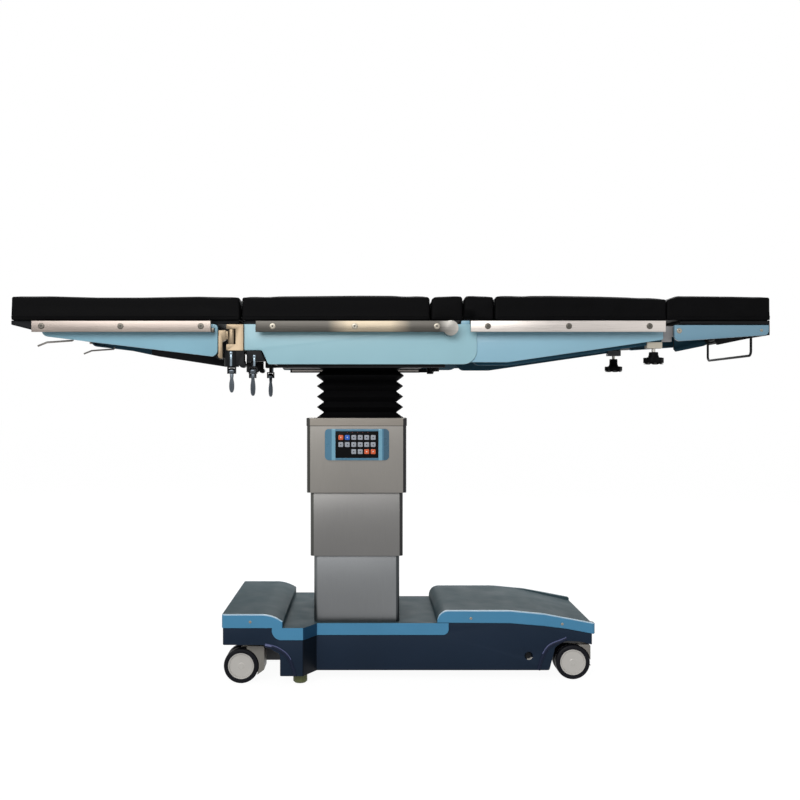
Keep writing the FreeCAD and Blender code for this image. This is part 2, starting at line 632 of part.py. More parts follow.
def seat_frame():
    """Welded seat frame with the cradle that hangs on the tilting cross."""
    px, pz = BACK_PIVOT
    outline = [(-396.0, PLATE_BOTTOM), (-396.0, 925.0), (-345.0, 925.0, 10.0), (-330.0, 900.0, 10.0),
               (40.0, 900.0, 30.0), (120.0, 955.0, 10.0), (px + 5.0, 955.0), (px + 5.0, PLATE_BOTTOM)]
    bar = slab_xz(outline, -232.0, -222.0)
    lug = rod_y(-232.0, -222.0, px, pz, 20.0).common(box(100, 250, -240, -200, 900, PLATE_BOTTOM))
    pivot = rod_y(-PANEL_FACE + PANEL_SHEET, BACK_PIN_END, px, pz, BACK_PIN_RADIUS)
    parts = both_sides(bar) + both_sides(lug) + both_sides(pivot)
    parts.append(box(-398.0, 106.0, -PLATE_HALF_WIDTH, PLATE_HALF_WIDTH, PLATE_BOTTOM, PLATE_TOP))
    for x in (-330.0, -215.0, 0.0):
        parts.append(box(x, x + 40.0, -222.0, 222.0, 945.0, PLATE_BOTTOM))
    pan = box(-325.0, 104.0, -222.0, 222.0, PAN_Z, PAN_Z + 4.0)
    parts.append(pan.cut(box(COLUMN_X - 80, COLUMN_X + 80, -100, 100, PAN_Z - 1, PAN_Z + 5)))
    parts += both_sides(box(-325.0, 60.0, -224.0, -220.0, PAN_Z, 902.0))
    parts += both_sides(box(-310.0, 104.0, -226.0, -216.0, PAN_Z - 11.0, PAN_Z + 4.0))
    parts.append(box(COLUMN_X - 80.0, COLUMN_X + 80.0, -222.0, 222.0, 930.0, 945.0))
    for side in (-1, 1):
        x0 = COLUMN_X + min(side * 52.0, side * 70.0)
        tip = TILT_Z - 30.0
        ear = slab_yz([(-45.0, 930.0), (-30.0, tip, 26.0), (30.0, tip, 26.0), (45.0, 930.0)], x0, x0 + 18.0)
        parts.append(ear.cut(rod_x(x0 - 1, x0 + 19, 0, TILT_Z, TILT_PIN_RADIUS + PIN_CLEARANCE)))
        parts += both_sides(box(x0 + 2, x0 + 14, -222.0, -205.0, 900.0, 945.0))
    guide_beam = box(110.0, 140.0, -222.0, 222.0, 940.0, 958.0)
    guides = [rod_z(930.0, 978.0, BRIDGE_X, y, 15.0) for y in (-BRIDGE_POST_Y, BRIDGE_POST_Y)]
    frame = fuse(parts + [guide_beam] + guides)
    for y in (-BRIDGE_POST_Y, BRIDGE_POST_Y):
        frame = frame.cut(rod_z(900.0, 1000.0, BRIDGE_X, y, BRIDGE_POST_RADIUS + PIN_CLEARANCE))
    return frame


def seat_side_panels():
    outline = [(-399.0, PANEL_TOP), (-399.0, 915.7, 4.0), (-350.0, 915.7, 8.0), (-333.0, 877.7, 8.0),
               (235.0, 877.7, 38.0), (235.0, PANEL_TOP)]
    inner = [(-395.0, PANEL_TOP + 1), (-395.0, 919.7), (-347.0, 919.7, 8.0), (-330.0, 881.7, 6.0),
             (56.0, 881.7), (56.0, 870.0), (240.0, 870.0), (240.0, PANEL_TOP + 1)]
    panel = side_panel(outline, inner, depth=11.0)
    return Part.makeCompound(both_sides(panel))


def seat_rails():
    px, pz = BACK_PIVOT
    bar = rail(SEAT_RAIL_START, px, SEAT_RAIL_SCREWS, (px, pz, 20.7))
    return Part.makeCompound(both_sides(bar))


def kidney_bridge():
    plate = box(112.0, 150.0, -205.0, 205.0, PLATE_BOTTOM, PLATE_TOP)
    post = rod_z(862.0, PLATE_BOTTOM, BRIDGE_X, -BRIDGE_POST_Y, BRIDGE_POST_RADIUS)
    return fuse([plate] + both_sides(post))


def back_frame():
    """Back section: top plate, two side bars with pivot lugs, head sockets and clamp blocks."""
    px, pz = BACK_PIVOT
    hx, hz = HEAD_PIVOT
    outline = [(px, PLATE_BOTTOM), (px, 950.0), (236.0, 875.5, 20.0), (325.0, 875.5, 60.0), (703.0, 930.5),
               (703.0, 938.0), (772.0, 941.0), (772.0, 983.0), (745.0, 983.0), (745.0, PLATE_BOTTOM)]
    bar = slab_xz(outline, -221.0, -211.0)
    lug = rod_y(-221.0, -211.0, px, pz, 24.0).common(box(0, 400, -250, 0, 900, PLATE_BOTTOM))
    head_lug = rod_y(-221.0, -211.0, hx, hz, 14.0)
    neck = slab_xz([(760.0, 955.0), (hx, 955.0), (hx, 983.0), (760.0, 983.0)], -221.0, -211.0)
    bracket = box(744.0, 772.0, -211.0, -203.0, 941.0, 984.0)
    clamp = box(HEAD_CLAMP[0] - 20.5, HEAD_CLAMP[0] + 20.5, -227.0, -203.0, 922.0, 939.0)
    riser = box(HEAD_CLAMP[0] - 14.0, HEAD_CLAMP[0] + 14.0, -221.0, -205.0, 939.0, 945.0)
    clamp = clamp.cut(rod_z(900.0, 936.0, HEAD_CLAMP[0], -HEAD_CLAMP[1], KNOB_SCREW_RADIUS + PIN_CLEARANCE))
    side = fuse([bar, lug, head_lug, neck, bracket, clamp, riser])
    side = side.cut(rod_y(-222.0, -202.0, px, pz, BACK_PIN_RADIUS + PIN_CLEARANCE))
    side = side.cut(rod_y(-222.0, -202.0, hx, hz, HEAD_PIN_RADIUS + PIN_CLEARANCE))
    parts = both_sides(side)
    parts.append(box(205.0, 745.0, -PLATE_HALF_WIDTH, PLATE_HALF_WIDTH, PLATE_BOTTOM, PLATE_TOP))
    for x in (230.0, 400.0, 560.0, 700.0):
        parts.append(box(x, x + 30.0, -211.0, 211.0, 962.0, PLATE_BOTTOM))
    return fuse(parts)


def back_side_panels():
    outline = [(205.0, PANEL_TOP), (130.0, 940.0, 25.0), (130.0, 883.4, 34.0), (319.0, 883.4, 40.0),
               (744.0, 945.0, 6.0), (744.0, PANEL_TOP)]
    inner = [(259.0, PANEL_TOP + 1), (259.0, 887.4), (319.0, 887.4, 36.0), (740.0, 948.0, 4.0),
             (740.0, PANEL_TOP + 1)]
    thin = [(100.0, PANEL_TOP + 5), (100.0, 870.0), (255.0, 870.0), (255.0, PANEL_TOP + 5)]
    face = BACK_PANEL_FACE
    panel = side_panel(outline, inner, y_face=face, depth=17.0)
    panel = panel.cut(slab_xz(thin, -face + PANEL_SHEET, -face + 20.0))
    return Part.makeCompound(both_sides(panel))


def back_rails():
    bar = rail(BACK_RAIL[0], BACK_RAIL[1], ())
    y0 = -RAIL_FACE + RAIL_THICKNESS
    posts = [rod_y(y0, -BACK_PANEL_FACE, x, RAIL_AXIS_Z, SPACER_RADIUS) for x in BACK_RAIL_SCREWS]
    return Part.makeCompound(both_sides(fuse([bar] + posts)))


def head_frame():
    """Head section: plate, side bars on their pivots, end plate and the bar that carries the bail."""
    hx, hz = HEAD_PIVOT
    end = HALF_LENGTH - 4.5
    bar = slab_xz([(775.0, 984.0, 3.0), (775.0, 946.0, 12.0), (end - 6.5, 961.0), (end - 6.5, PLATE_BOTTOM),
                   (790.0, PLATE_BOTTOM), (790.0, 984.0)], -232.0, -222.0)
    pivot = rod_y(-222.0, BACK_PIN_END, hx, hz, HEAD_PIN_RADIUS)
    parts = both_sides(bar) + both_sides(pivot)
    parts.append(box(790.0, HALF_LENGTH, -PLATE_HALF_WIDTH, PLATE_HALF_WIDTH, PLATE_BOTTOM, PLATE_TOP))
    parts.append(box(end, HALF_LENGTH, -PLATE_HALF_WIDTH, PLATE_HALF_WIDTH, 957.6, PLATE_BOTTOM))
    parts.append(box(end - 6.5, end, -232.0, 232.0, 961.0, PLATE_BOTTOM))
    carrier = [(905.0, PLATE_BOTTOM), (905.0, 942.0, 3.0), (912.0, 934.0, 3.0), (999.0, 952.0, 20.0),
               (1020.0, 961.0, 3.0), (1020.0, PLATE_BOTTOM)]
    parts += both_sides(slab_xz(carrier, -184.0, -176.5))
    parts.append(rod_y(-222.0, 222.0, BAIL_X, BAIL_PIVOT_Z, BAIL_SHAFT_RADIUS))
    parts.append(box(BAIL_X - 4, BAIL_X + 10.5, -30.0, 30.0, BAIL_PIVOT_Z - 4.0, BAIL_PIVOT_Z + 4.0))
    return fuse(parts)


def head_side_panels():
    end = HALF_LENGTH - 5.0
    outline = [(773.0, 984.5), (773.0, 940.0, 15.0), (end, 957.6, 12.0), (end, 984.5)]
    end -= PANEL_SHEET
    inner = [(777.0, 986.0), (777.0, 944.0, 12.0), (end, 961.0, 9.0), (end, 986.0)]
    return Part.makeCompound(both_sides(side_panel(outline, inner, depth=11.0)))


def head_bail():
    """Release bail: a bent rod with an eye at each end on the cross bar."""
    top = BAIL_PIVOT_Z - 8.0
    half = BAIL_HALF_WIDTH
    corners = [(-half, top), (-half, BAIL_GRIP_Z), (half, BAIL_GRIP_Z), (half, top)]
    rod = bent_rod([(BAIL_X, y, z) for y, z in corners], BAIL_ROD_RADIUS, 14.0)
    eyes = []
    for y in (-half, half):
        eye = rod_y(y - 5.0, y + 5.0, BAIL_X, BAIL_PIVOT_Z, 9.5)
        bore = rod_y(y - 6.0, y + 6.0, BAIL_X, BAIL_PIVOT_Z, BAIL_SHAFT_RADIUS + PIN_CLEARANCE)
        eyes.append(eye.cut(bore))
    return fuse([rod] + eyes)


def head_clamp_knob():
    """Lobed clamp knob on the left, with hub and screw."""
    x, y = HEAD_CLAMP[0], -HEAD_CLAMP[1]
    bottom, top = KNOB_Z
    screw = rod_z(890.0, 933.0, x, y, KNOB_SCREW_RADIUS)
    hub = rod_z(top, 913.0, x, y, 14.0)
    body = rod_z(bottom, top, x, y, 22.0)
    lobes = []
    for i in range(KNOB_LOBES):
        turn = 2.0 * math.pi * i / KNOB_LOBES
        lobes.append(rod_z(bottom, top, x + 20.0 * math.cos(turn), y + 20.0 * math.sin(turn), 9.5))
    return fuse([screw, hub, body] + lobes)


def leg_mount_brackets():
    """C-shaped brackets with the spread pins, their posts and the two clamp bodies on each side."""
    px, py = SPREAD_PIN
    outline = [(-446.0, 986.0, 2.0), (-446.0, 973.6), (-421.0, 973.6), (-421.0, 932.0),
               (-446.0, 932.0), (-446.0, 915.0, 3.0), (-400.0, 915.0), (-400.0, 986.0)]
    bracket = slab_xz(outline, -250.0, -226.0)
    web = box(-415.0, -396.5, -226.0, -204.0, 926.0, 960.0)
    post = box(-397.0, -345.0, -221.8, -204.0, 925.0, 944.0)
    pin = rod_z(872.0, 984.0, px, py, SPREAD_PIN_RADIUS)
    collar = rod_z(871.0, 915.0, px, py, 20.0)
    arm = box(px, -398.0, -252.0, -224.0, 874.0, 915.0)
    boss = rod_y(-254.0, -222.0, -402.0, 876.0, 8.0)
    outline = [(-391.0, 914.5), (-391.0, 884.0, 3.0), (-342.0, 886.0, 4.0), (-353.0, 914.5)]
    socket = slab_xz(outline, -250.0, -226.0)
    step = box(-397.0, -354.0, -231.5, -226.0, 905.0, 914.5)
    tie = box(-397.0, -354.0, -226.0, -206.0, 905.0, 925.0)
    clevises = [clevis(px, 872.0), clevis(POST_CLAMP_X, 886.0)]
    side = fuse([bracket, web, post, pin, collar, arm, boss, socket, step, tie] + clevises)
    return Part.makeCompound(both_sides(side))


def clamp_handle(x, z_tip):
    """Flat hanging clamp lever on the left, with a round head between the cheeks of its clevis."""
    y = SPREAD_PIN[1]
    z = HANDLE_PIVOT_Z
    blade = slab_xz([(x - 5.0, z), (x - 7.0, z - 24.0, 10.0), (x - 5.5, z_tip, 5.0), (x + 5.5, z_tip, 5.0),
                     (x + 7.0, z - 24.0, 10.0), (x + 5.0, z)], y - 4.0, y + 4.0)
    head = Part.makeSphere(HANDLE_HEAD_RADIUS, V(x, y, z))
    handle = fuse([blade, head.common(box(x - 8.0, x + 8.0, y - 10, y + 10, z - 10, z + 10))])
    return handle.cut(rod_x(x - 9.0, x + 9.0, y, z, CLEVIS_PIN_RADIUS + PIN_CLEARANCE))


def clevis(x, z_top):
    """Two cheeks and a pin that carry a clamp lever below a block that ends at z_top."""
    y = SPREAD_PIN[1]
    z = HANDLE_PIVOT_Z
    saddle_z = z + HANDLE_HEAD_RADIUS + 0.7
    parts = [rod_x(x - 11.5, x + 11.5, y, z, CLEVIS_PIN_RADIUS)]
    for side in (-1, 1):
        x0 = x + min(side * 8.5, side * 11.5)
        parts.append(box(x0, x0 + 3.0, y - 7.0, y + 7.0, z - 7.0, saddle_z + 2.0))
    parts.append(box(x - 11.5, x + 11.5, y - 7.0, y + 7.0, saddle_z, saddle_z + 3.0))
    if z_top > saddle_z + 3.0:
        parts.append(rod_z(saddle_z + 2.0, z_top, x, y, 5.0))
    return fuse(parts)


def leg_arm():
    """Steel arm on the left that turns about the spread pin and carries the leg's drop pivot."""
    px, py = SPREAD_PIN
    dx, dz = DROP_PIVOT
    barrel = rod_z(932.6, 973.0, px, py, 11.0)
    web = box(-450.0, px, -242.0, -234.0, 946.0, 968.0)
    plate = slab_xz([(-468.0, 970.0, 2.0), (-448.0, 970.0, 2.0), (-448.0, 944.0, 2.0), (-457.5, 940.0, 4.0),
                     (-457.5, dz), (-468.0, dz)], -246.0, -230.0)
    eye = rod_y(-246.0, -230.0, dx, dz, 7.5).cut(box(-457.5, -440.0, -250.0, -225.0, 880.0, 920.0))
    pin = rod_y(-230.0, -216.0, dx, dz, DROP_PIN_RADIUS)
    arm = fuse([barrel, web, plate, eye, pin])
    return arm.cut(rod_z(930.0, 980.0, px, py, SPREAD_PIN_RADIUS + PIN_CLEARANCE))


def leg_frame():
    """Leg section on the left: plate with a deep nose, two long bars and cross bars."""
    dx, dz = DROP_PIVOT
    inner = -LEG_SPLIT - 1.0
    plate = slab_xz([(-HALF_LENGTH, PLATE_TOP, 2.0), (-414.0, PLATE_TOP), (-414.0, PLATE_BOTTOM),
                     (-955.0, PLATE_BOTTOM), (-955.0, 968.0, 3.0), (-972.0, 970.0, 6.0),
                     (-HALF_LENGTH, 986.0, 3.0)], -PLATE_HALF_WIDTH, inner)
    outline = [(-950.0, PLATE_BOTTOM), (-950.0, 964.0), (-500.0, 908.0, 10.0), (-470.0, 892.0, 4.0),
               (dx, 892.0), (dx, 910.0), (-474.0, 925.0, 6.0), (-474.0, PLATE_BOTTOM)]
    outer_bar = slab_xz(outline, -229.0, -219.0)
    eye = rod_y(-229.0, -219.0, dx, dz, 9.0)
    outline = [(-955.0, PLATE_BOTTOM), (-955.0, 968.0), (-686.0, 911.0, 200.0), (-480.0, 879.0, 6.0),
               (-480.0, PLATE_BOTTOM)]
    inner_bar = slab_xz(outline, -20.0, -12.0)
    lever_pin = rod_y(-219.0, -209.0, LEVER_PIVOT[0], LEVER_PIVOT[1], LEVER_PIN_RADIUS)
    parts = [plate, outer_bar, eye, inner_bar, lever_pin]
    for x in (-830.0, -665.0, -500.0):
        parts.append(box(x, x + 20.0, -219.0, -20.0, 968.0, PLATE_BOTTOM))
    frame = fuse(parts)
    return frame.cut(rod_y(-230.0, -218.0, dx, dz, DROP_PIN_RADIUS + PIN_CLEARANCE))


def leg_panel():
    outline = [(-950.0, PANEL_TOP), (-950.0, 955.0, 18.0), (-471.0, 897.4, 17.0), (-471.0, PANEL_TOP, 10.0)]
    inner = [(-946.0, PANEL_TOP + 1), (-946.0, 959.0, 14.0), (-475.0, 901.8, 13.0), (-475.0, PANEL_TOP + 1)]
    return side_panel(outline, inner)


def leg_rail():
    return rail(LEG_RAIL[0], LEG_RAIL[1], LEG_RAIL_SCREWS)


def leg_lever():
    """Bent release lever below the foot end of the left leg section."""
    y = -214.0
    pivot_x, pivot_z = LEVER_PIVOT
    bar_x = pivot_x - 4.5
    path = [(-970.0, y, 929.0), (-945.0, y, 939.0), (bar_x, y, 944.0), (bar_x, y, pivot_z - 5.0)]
    rod = bent_rod(path, LEVER_ROD_RADIUS, 5.0)
    eye = rod_y(y - 4.0, y + 4.0, pivot_x, pivot_z, 8.0)
    lever = fuse([rod, eye])
    return lever.cut(rod_y(y - 5.0, y + 5.0, pivot_x, pivot_z, LEVER_PIN_RADIUS + PIN_CLEARANCE))


def write(node, shape):
    shape.exportStep("parts/" + node + ".step")


def build_base():
    write("base_chassis", base_chassis())
    write("base_skirt", base_skirt())
    write("base_deck", base_deck())
    write("foot_end_cover", foot_end_cover())
    write("head_end_cover", head_end_cover())
    write("power_unit", power_unit())
    write("floor_lock_feet", floor_lock_feet())
    for name, place in (("foot", FOOT_CASTOR), ("head", HEAD_CASTOR)):
        for side_name, side in (("left", -1), ("right", 1)):
            write("castor_housing_" + name + "_" + side_name, castor_housing(place, side))
            write("castor_wheels_" + name + "_" + side_name, castor_wheels(place, side))


def build_column():
    write("column_cover_lower", sleeve(LOWER_COVER, COVER_SHEET, COVER_CORNER))
    write("column_cover_middle", sleeve(MIDDLE_COVER, COVER_SHEET, COVER_CORNER))
    write("column_cover_upper", column_cover_upper())
    write("lift_guide_lower", sleeve(LOWER_GUIDE, GUIDE_WALL, 8.0))
    write("lift_guide_middle", Part.makeCompound([sleeve(MIDDLE_GUIDE, GUIDE_WALL, 7.0), lift_stage()]))
    write("lift_guide_upper", Part.makeCompound([lift_guide_upper(), lift_ram()]))
    write("lift_cylinder", lift_cylinder())
    write("bellows", bellows())
    write("tilt_cross", tilt_cross())
    write("control_bezel", control_bezel())
    write("control_keypad", keypad_block(0.0, KEYPAD_THICKNESS))


def build_seat():
    width = PAD_HALF_WIDTH
    write("seat_frame", seat_frame())
    write("seat_side_panels", seat_side_panels())
    write("seat_rails", seat_rails())
    write("seat_pad", pad(SEAT_PAD, -width, width))
    write("kidney_bridge", kidney_bridge())
    write("kidney_pad", pad(KIDNEY_PAD, -width, width))
    write("leg_mount_brackets", leg_mount_brackets())


def build_back_and_head():
    width = PAD_HALF_WIDTH
    write("back_frame", back_frame())
    write("back_side_panels", back_side_panels())
    write("back_rails", back_rails())
    write("back_pad", pad(BACK_PAD, -width, width))
    write("lower_back_pad", pad(LOWER_BACK_PAD, -width, width))
    write("head_frame", head_frame())
    write("head_side_panels", head_side_panels())
    write("head_pad", pad(HEAD_PAD, -width, width, bevel=(30.0, 9.0)))
    write("head_bail", head_bail())


def build_pairs():
    """Pieces of the left side and their mirror images."""
    left = {
        "leg_arm": leg_arm(),
        "leg_frame": leg_frame(),
        "leg_panel": leg_panel(),
        "leg_rail": leg_rail(),
        "leg_pad": pad(LEG_PAD, -PAD_HALF_WIDTH, -LEG_SPLIT),
        "leg_lever": leg_lever(),
        "spread_handle": clamp_handle(SPREAD_PIN[0], SPREAD_HANDLE_TIP),
        "post_handle": clamp_handle(POST_CLAMP_X, POST_HANDLE_TIP),
        "head_clamp_knob": head_clamp_knob(),
    }
    for name, shape in left.items():
        write(name + "_left", shape)
        write(name + "_right", across(shape))


os.makedirs("parts", exist_ok=True)
build_base()
build_column()
build_seat()
build_back_and_head()
build_pairs()
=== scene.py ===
import json
import math

import bmesh
import bpy
from mathutils import Matrix, Vector

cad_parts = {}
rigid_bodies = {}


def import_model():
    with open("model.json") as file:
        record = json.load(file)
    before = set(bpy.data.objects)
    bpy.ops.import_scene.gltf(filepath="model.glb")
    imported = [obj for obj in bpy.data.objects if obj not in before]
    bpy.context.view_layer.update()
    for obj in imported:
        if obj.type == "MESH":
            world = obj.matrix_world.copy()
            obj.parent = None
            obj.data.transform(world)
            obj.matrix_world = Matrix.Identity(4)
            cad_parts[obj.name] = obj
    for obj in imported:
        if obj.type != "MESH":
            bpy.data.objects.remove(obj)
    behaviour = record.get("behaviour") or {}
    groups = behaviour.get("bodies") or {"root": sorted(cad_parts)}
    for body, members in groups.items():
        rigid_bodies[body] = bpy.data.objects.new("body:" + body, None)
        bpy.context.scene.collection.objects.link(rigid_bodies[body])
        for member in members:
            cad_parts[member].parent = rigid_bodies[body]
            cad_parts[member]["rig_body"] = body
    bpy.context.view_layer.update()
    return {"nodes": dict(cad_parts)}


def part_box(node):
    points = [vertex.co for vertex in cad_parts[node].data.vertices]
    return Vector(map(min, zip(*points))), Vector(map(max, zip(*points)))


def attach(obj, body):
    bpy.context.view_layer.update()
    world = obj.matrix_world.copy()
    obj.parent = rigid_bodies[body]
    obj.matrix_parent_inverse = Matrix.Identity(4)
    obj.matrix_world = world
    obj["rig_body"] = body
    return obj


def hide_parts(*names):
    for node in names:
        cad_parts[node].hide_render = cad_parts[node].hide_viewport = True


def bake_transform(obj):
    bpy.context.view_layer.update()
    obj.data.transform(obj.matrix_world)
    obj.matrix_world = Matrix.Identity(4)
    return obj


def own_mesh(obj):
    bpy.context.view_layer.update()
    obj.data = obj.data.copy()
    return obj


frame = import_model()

nodes = frame["nodes"]
MM = 0.001
SIDES = (("left", -1), ("right", 1))


def mm(*values):
    """A point or size given in millimetres."""
    return Vector(values) * MM


# Edit-mode helpers

def only(piece):
    bpy.ops.object.select_all(action="DESELECT")
    piece.select_set(True)
    bpy.context.view_layer.objects.active = piece


def open_mesh(piece):
    only(piece)
    bpy.ops.object.mode_set(mode="EDIT")
    bpy.ops.mesh.select_mode(type="VERT")
    bpy.ops.mesh.select_all(action="DESELECT")


def close_mesh():
    bpy.ops.object.mode_set(mode="OBJECT")


def pick_points(piece, test):
    bpy.ops.mesh.select_mode(type="VERT")
    bpy.ops.mesh.select_all(action="DESELECT")
    mesh = bmesh.from_edit_mesh(piece.data)
    for point in mesh.verts:
        if test(point.co):
            point.select_set(True)
    mesh.select_flush_mode()
    bmesh.update_edit_mesh(piece.data)


def pick_edges(piece, test):
    """Select the edges whose middle and direction pass the test."""
    bpy.ops.mesh.select_mode(type="EDGE")
    bpy.ops.mesh.select_all(action="DESELECT")
    mesh = bmesh.from_edit_mesh(piece.data)
    for edge in mesh.edges:
        a, b = edge.verts[0].co, edge.verts[1].co
        if test((a + b) / 2, (b - a).normalized()):
            edge.select_set(True)
    bmesh.update_edit_mesh(piece.data)


def pick_faces(piece, test):
    """Select the faces whose middle and normal pass the test."""
    bpy.ops.mesh.select_mode(type="FACE")
    bpy.ops.mesh.select_all(action="DESELECT")
    mesh = bmesh.from_edit_mesh(piece.data)
    for face in mesh.faces:
        if test(face.calc_center_median(), face.normal):
            face.select_set(True)
    bmesh.update_edit_mesh(piece.data)


def extrude(x=0.0, y=0.0, z=0.0):
    bpy.ops.mesh.extrude_region_move(TRANSFORM_OT_translate={"value": (x * MM, y * MM, z * MM)})


def settle(piece):
    """Bring the piece's place into its mesh, so that its object sits at the origin."""
    only(piece)
    bpy.ops.object.transform_apply(location=True, rotation=True, scale=True)


def block(name, low, high):
    """A block between two corners in millimetres."""
    low, high = mm(*low), mm(*high)
    bpy.ops.mesh.primitive_cube_add(size=1, location=(low + high) / 2, scale=high - low)
    piece = bpy.context.object
    piece.name = name
    settle(piece)
    return piece


def drawn(name, points):
    """An outline drawn by extruding one point from corner to corner, then filled."""
    start = mm(*points[0])
    bpy.ops.mesh.primitive_plane_add(size=10 * MM, location=start + mm(5, 5, 0))
    piece = bpy.context.object
    piece.name = name
    settle(piece)
    open_mesh(piece)
    pick_points(piece, lambda p: (p - start).length > MM)
    bpy.ops.mesh.delete(type="VERT")
    bpy.ops.mesh.select_all(action="SELECT")
    for before, after in zip(points, points[1:]):
        extrude(*(Vector(after) - Vector(before)))
    return piece


def plate(name, outline, y0, y1):
    """A plate with a side-view outline of (x, z) points, from y0 to y1."""
    piece = drawn(name, [(x, y0, z) for x, z in outline])
    bpy.ops.mesh.select_all(action="SELECT")
    bpy.ops.mesh.edge_face_add()
    bpy.ops.mesh.select_all(action="SELECT")
    extrude(y=y1 - y0)
    bpy.ops.mesh.select_all(action="SELECT")
    bpy.ops.mesh.normals_make_consistent(inside=False)
    close_mesh()
    return piece


def turned(name, profile, centre, axis="Y", steps=48):
    """A profile of (radius, distance along the axis) points, spun about the axis through centre."""
    centre = Vector(centre)
    along = {"X": Vector((1, 0, 0)), "Y": Vector((0, 1, 0)), "Z": Vector((0, 0, 1))}[axis]
    out = Vector((1, 0, 0)) if axis != "X" else Vector((0, 0, 1))
    piece = drawn(name, [centre + out * radius + along * far for radius, far in profile])
    bpy.ops.mesh.select_all(action="SELECT")
    bpy.ops.mesh.spin(steps=steps, angle=2 * math.pi, center=centre * MM, axis=along)
    bpy.ops.mesh.select_all(action="SELECT")
    bpy.ops.mesh.remove_doubles(threshold=0.02 * MM)
    bpy.ops.mesh.normals_make_consistent(inside=False)
    close_mesh()
    return piece


def apply_all(piece):
    only(piece)
    for modifier in list(piece.modifiers):
        bpy.ops.object.modifier_apply(modifier=modifier.name)


def soften(piece, width, segments=3, angle=30):
    """Round every edge sharper than angle and shade the rest smooth."""
    bevel = piece.modifiers.new("edge radius", "BEVEL")
    bevel.width = width * MM
    bevel.segments = segments
    bevel.limit_method = "ANGLE"
    bevel.angle_limit = math.radians(angle)
    bevel.harden_normals = False
    apply_all(piece)
    shade(piece)


def even_normals(piece):
    """Let the large faces decide the normals, so that flat parts stay flat and long curves stay smooth."""
    weighted = piece.modifiers.new("even normals", "WEIGHTED_NORMAL")
    weighted.keep_sharp = True
    apply_all(piece)


def shade(piece, angle=40):
    only(piece)
    bpy.ops.object.shade_smooth_by_angle(angle=math.radians(angle))


def joined(name, pieces):
    bpy.ops.object.select_all(action="DESELECT")
    for piece in pieces:
        piece.select_set(True)
    bpy.context.view_layer.objects.active = pieces[0]
    bpy.ops.object.join()
    pieces[0].name = name
    return pieces[0]


def copied(piece, name, move=(0, 0, 0), mirror=False):
    """A copy with its own mesh, moved in millimetres or mirrored to the other side of the table."""
    copy = piece.copy()
    copy.data = piece.data.copy()
    copy.name = name
    bpy.context.scene.collection.objects.link(copy)
    if mirror:
        copy.data.transform(Matrix.Diagonal((1, -1, 1, 1)))
        copy.data.flip_normals()
    copy.data.transform(Matrix.Translation(mm(*move)))
    return copy


def cad_copy(node, name):
    """A copy of a CAD node with its corners merged and its flat faces made whole."""
    piece = copied(nodes[node], name)
    for key in list(piece.keys()):
        del piece[key]
    piece.parent = None
    piece.matrix_world = Matrix.Identity(4)
    open_mesh(piece)
    bpy.ops.mesh.select_all(action="SELECT")
    bpy.ops.mesh.remove_doubles(threshold=0.02 * MM)
    bpy.ops.mesh.dissolve_limited(angle_limit=math.radians(0.6))
    close_mesh()
    return piece


def cut_across(piece, places, axis):
    """Divide the faces at these distances along an axis, so that each side can have its own finish."""
    normal = {"X": (1, 0, 0), "Y": (0, 1, 0), "Z": (0, 0, 1)}[axis]
    open_mesh(piece)
    for place in places:
        bpy.ops.mesh.select_all(action="SELECT")
        bpy.ops.mesh.bisect(plane_co=Vector(normal) * place * MM, plane_no=normal)
    close_mesh()


def dress(piece, material, body, slot, *stands_for):
    """Give a finished piece its material and body, and hide the CAD nodes it stands for; the slot is not
    used.
    """
    if material:
        piece.data.materials.clear()
        piece.data.materials.append(material)
    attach(piece, body)
    if stands_for:
        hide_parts(*stands_for)
    return piece


# Materials

def srgb(red, green, blue):
    """The linear colour of a shade given as it looks, 0 to 255."""
    def linear(value):
        value /= 255.0
        return value / 12.92 if value <= 0.04045 else ((value + 0.055) / 1.055) ** 2.4
    return (linear(red), linear(green), linear(blue), 1.0)


def add(tree, kind, settings=None, **sockets):
    """Add a shader node, with its settings and its sockets set or linked."""
    made = tree.nodes.new("ShaderNode" + kind)
    for name, value in (settings or {}).items():
        setattr(made, name, value)
    for name, value in sockets.items():
        socket = made.inputs[name.replace("_", " ")]
        if isinstance(value, bpy.types.NodeSocket):
            tree.links.new(value, socket)
        else:
            socket.default_value = value
    return made


def surface(name, roughness, metallic=0.0, coat=0.0, specular=0.5):
    """A new material with its shader and the Object coordinates."""
    material = bpy.data.materials.new(name)
    material.use_nodes = True
    tree = material.node_tree
    shader = tree.nodes["Principled BSDF"]
    shader.inputs["Roughness"].default_value = roughness
    shader.inputs["Metallic"].default_value = metallic
    shader.inputs["Coat Weight"].default_value = coat
    shader.inputs["Specular IOR Level"].default_value = specular
    place = add(tree, "TexCoord").outputs["Object"]
    return material, tree, shader, place


def ramp(tree, factor, stops):
    """A colour ramp through (position, colour) stops."""
    made = add(tree, "ValToRGB", Fac=factor)
    elements = made.color_ramp.elements
    elements[0].position, elements[0].color = stops[0]
    elements[1].position, elements[1].color = stops[-1]
    for position, colour in stops[1:-1]:
        element = elements.new(position)
        element.color = colour
    return made.outputs["Color"]


def shades(colour, spread):
    return [tuple(min(c * (1 + way * spread), 1.0) for c in colour[:3]) + (1.0,) for way in (-1, 1)]


def stretched(tree, place, stretch):
    return add(tree, "Mapping", Vector=place, Scale=stretch).outputs["Vector"]


def gloss_range(tree, shader, factor, low, high):
    made = add(tree, "MapRange", Value=factor, From_Min=0.3, From_Max=0.7, To_Min=low, To_Max=high)
    tree.links.new(made.outputs["Result"], shader.inputs["Roughness"])


def relief(tree, shader, height, strength, distance):
    made = add(tree, "Bump", Height=height, Strength=strength, Distance=distance * MM)
    tree.links.new(made.outputs["Normal"], shader.inputs["Normal"])


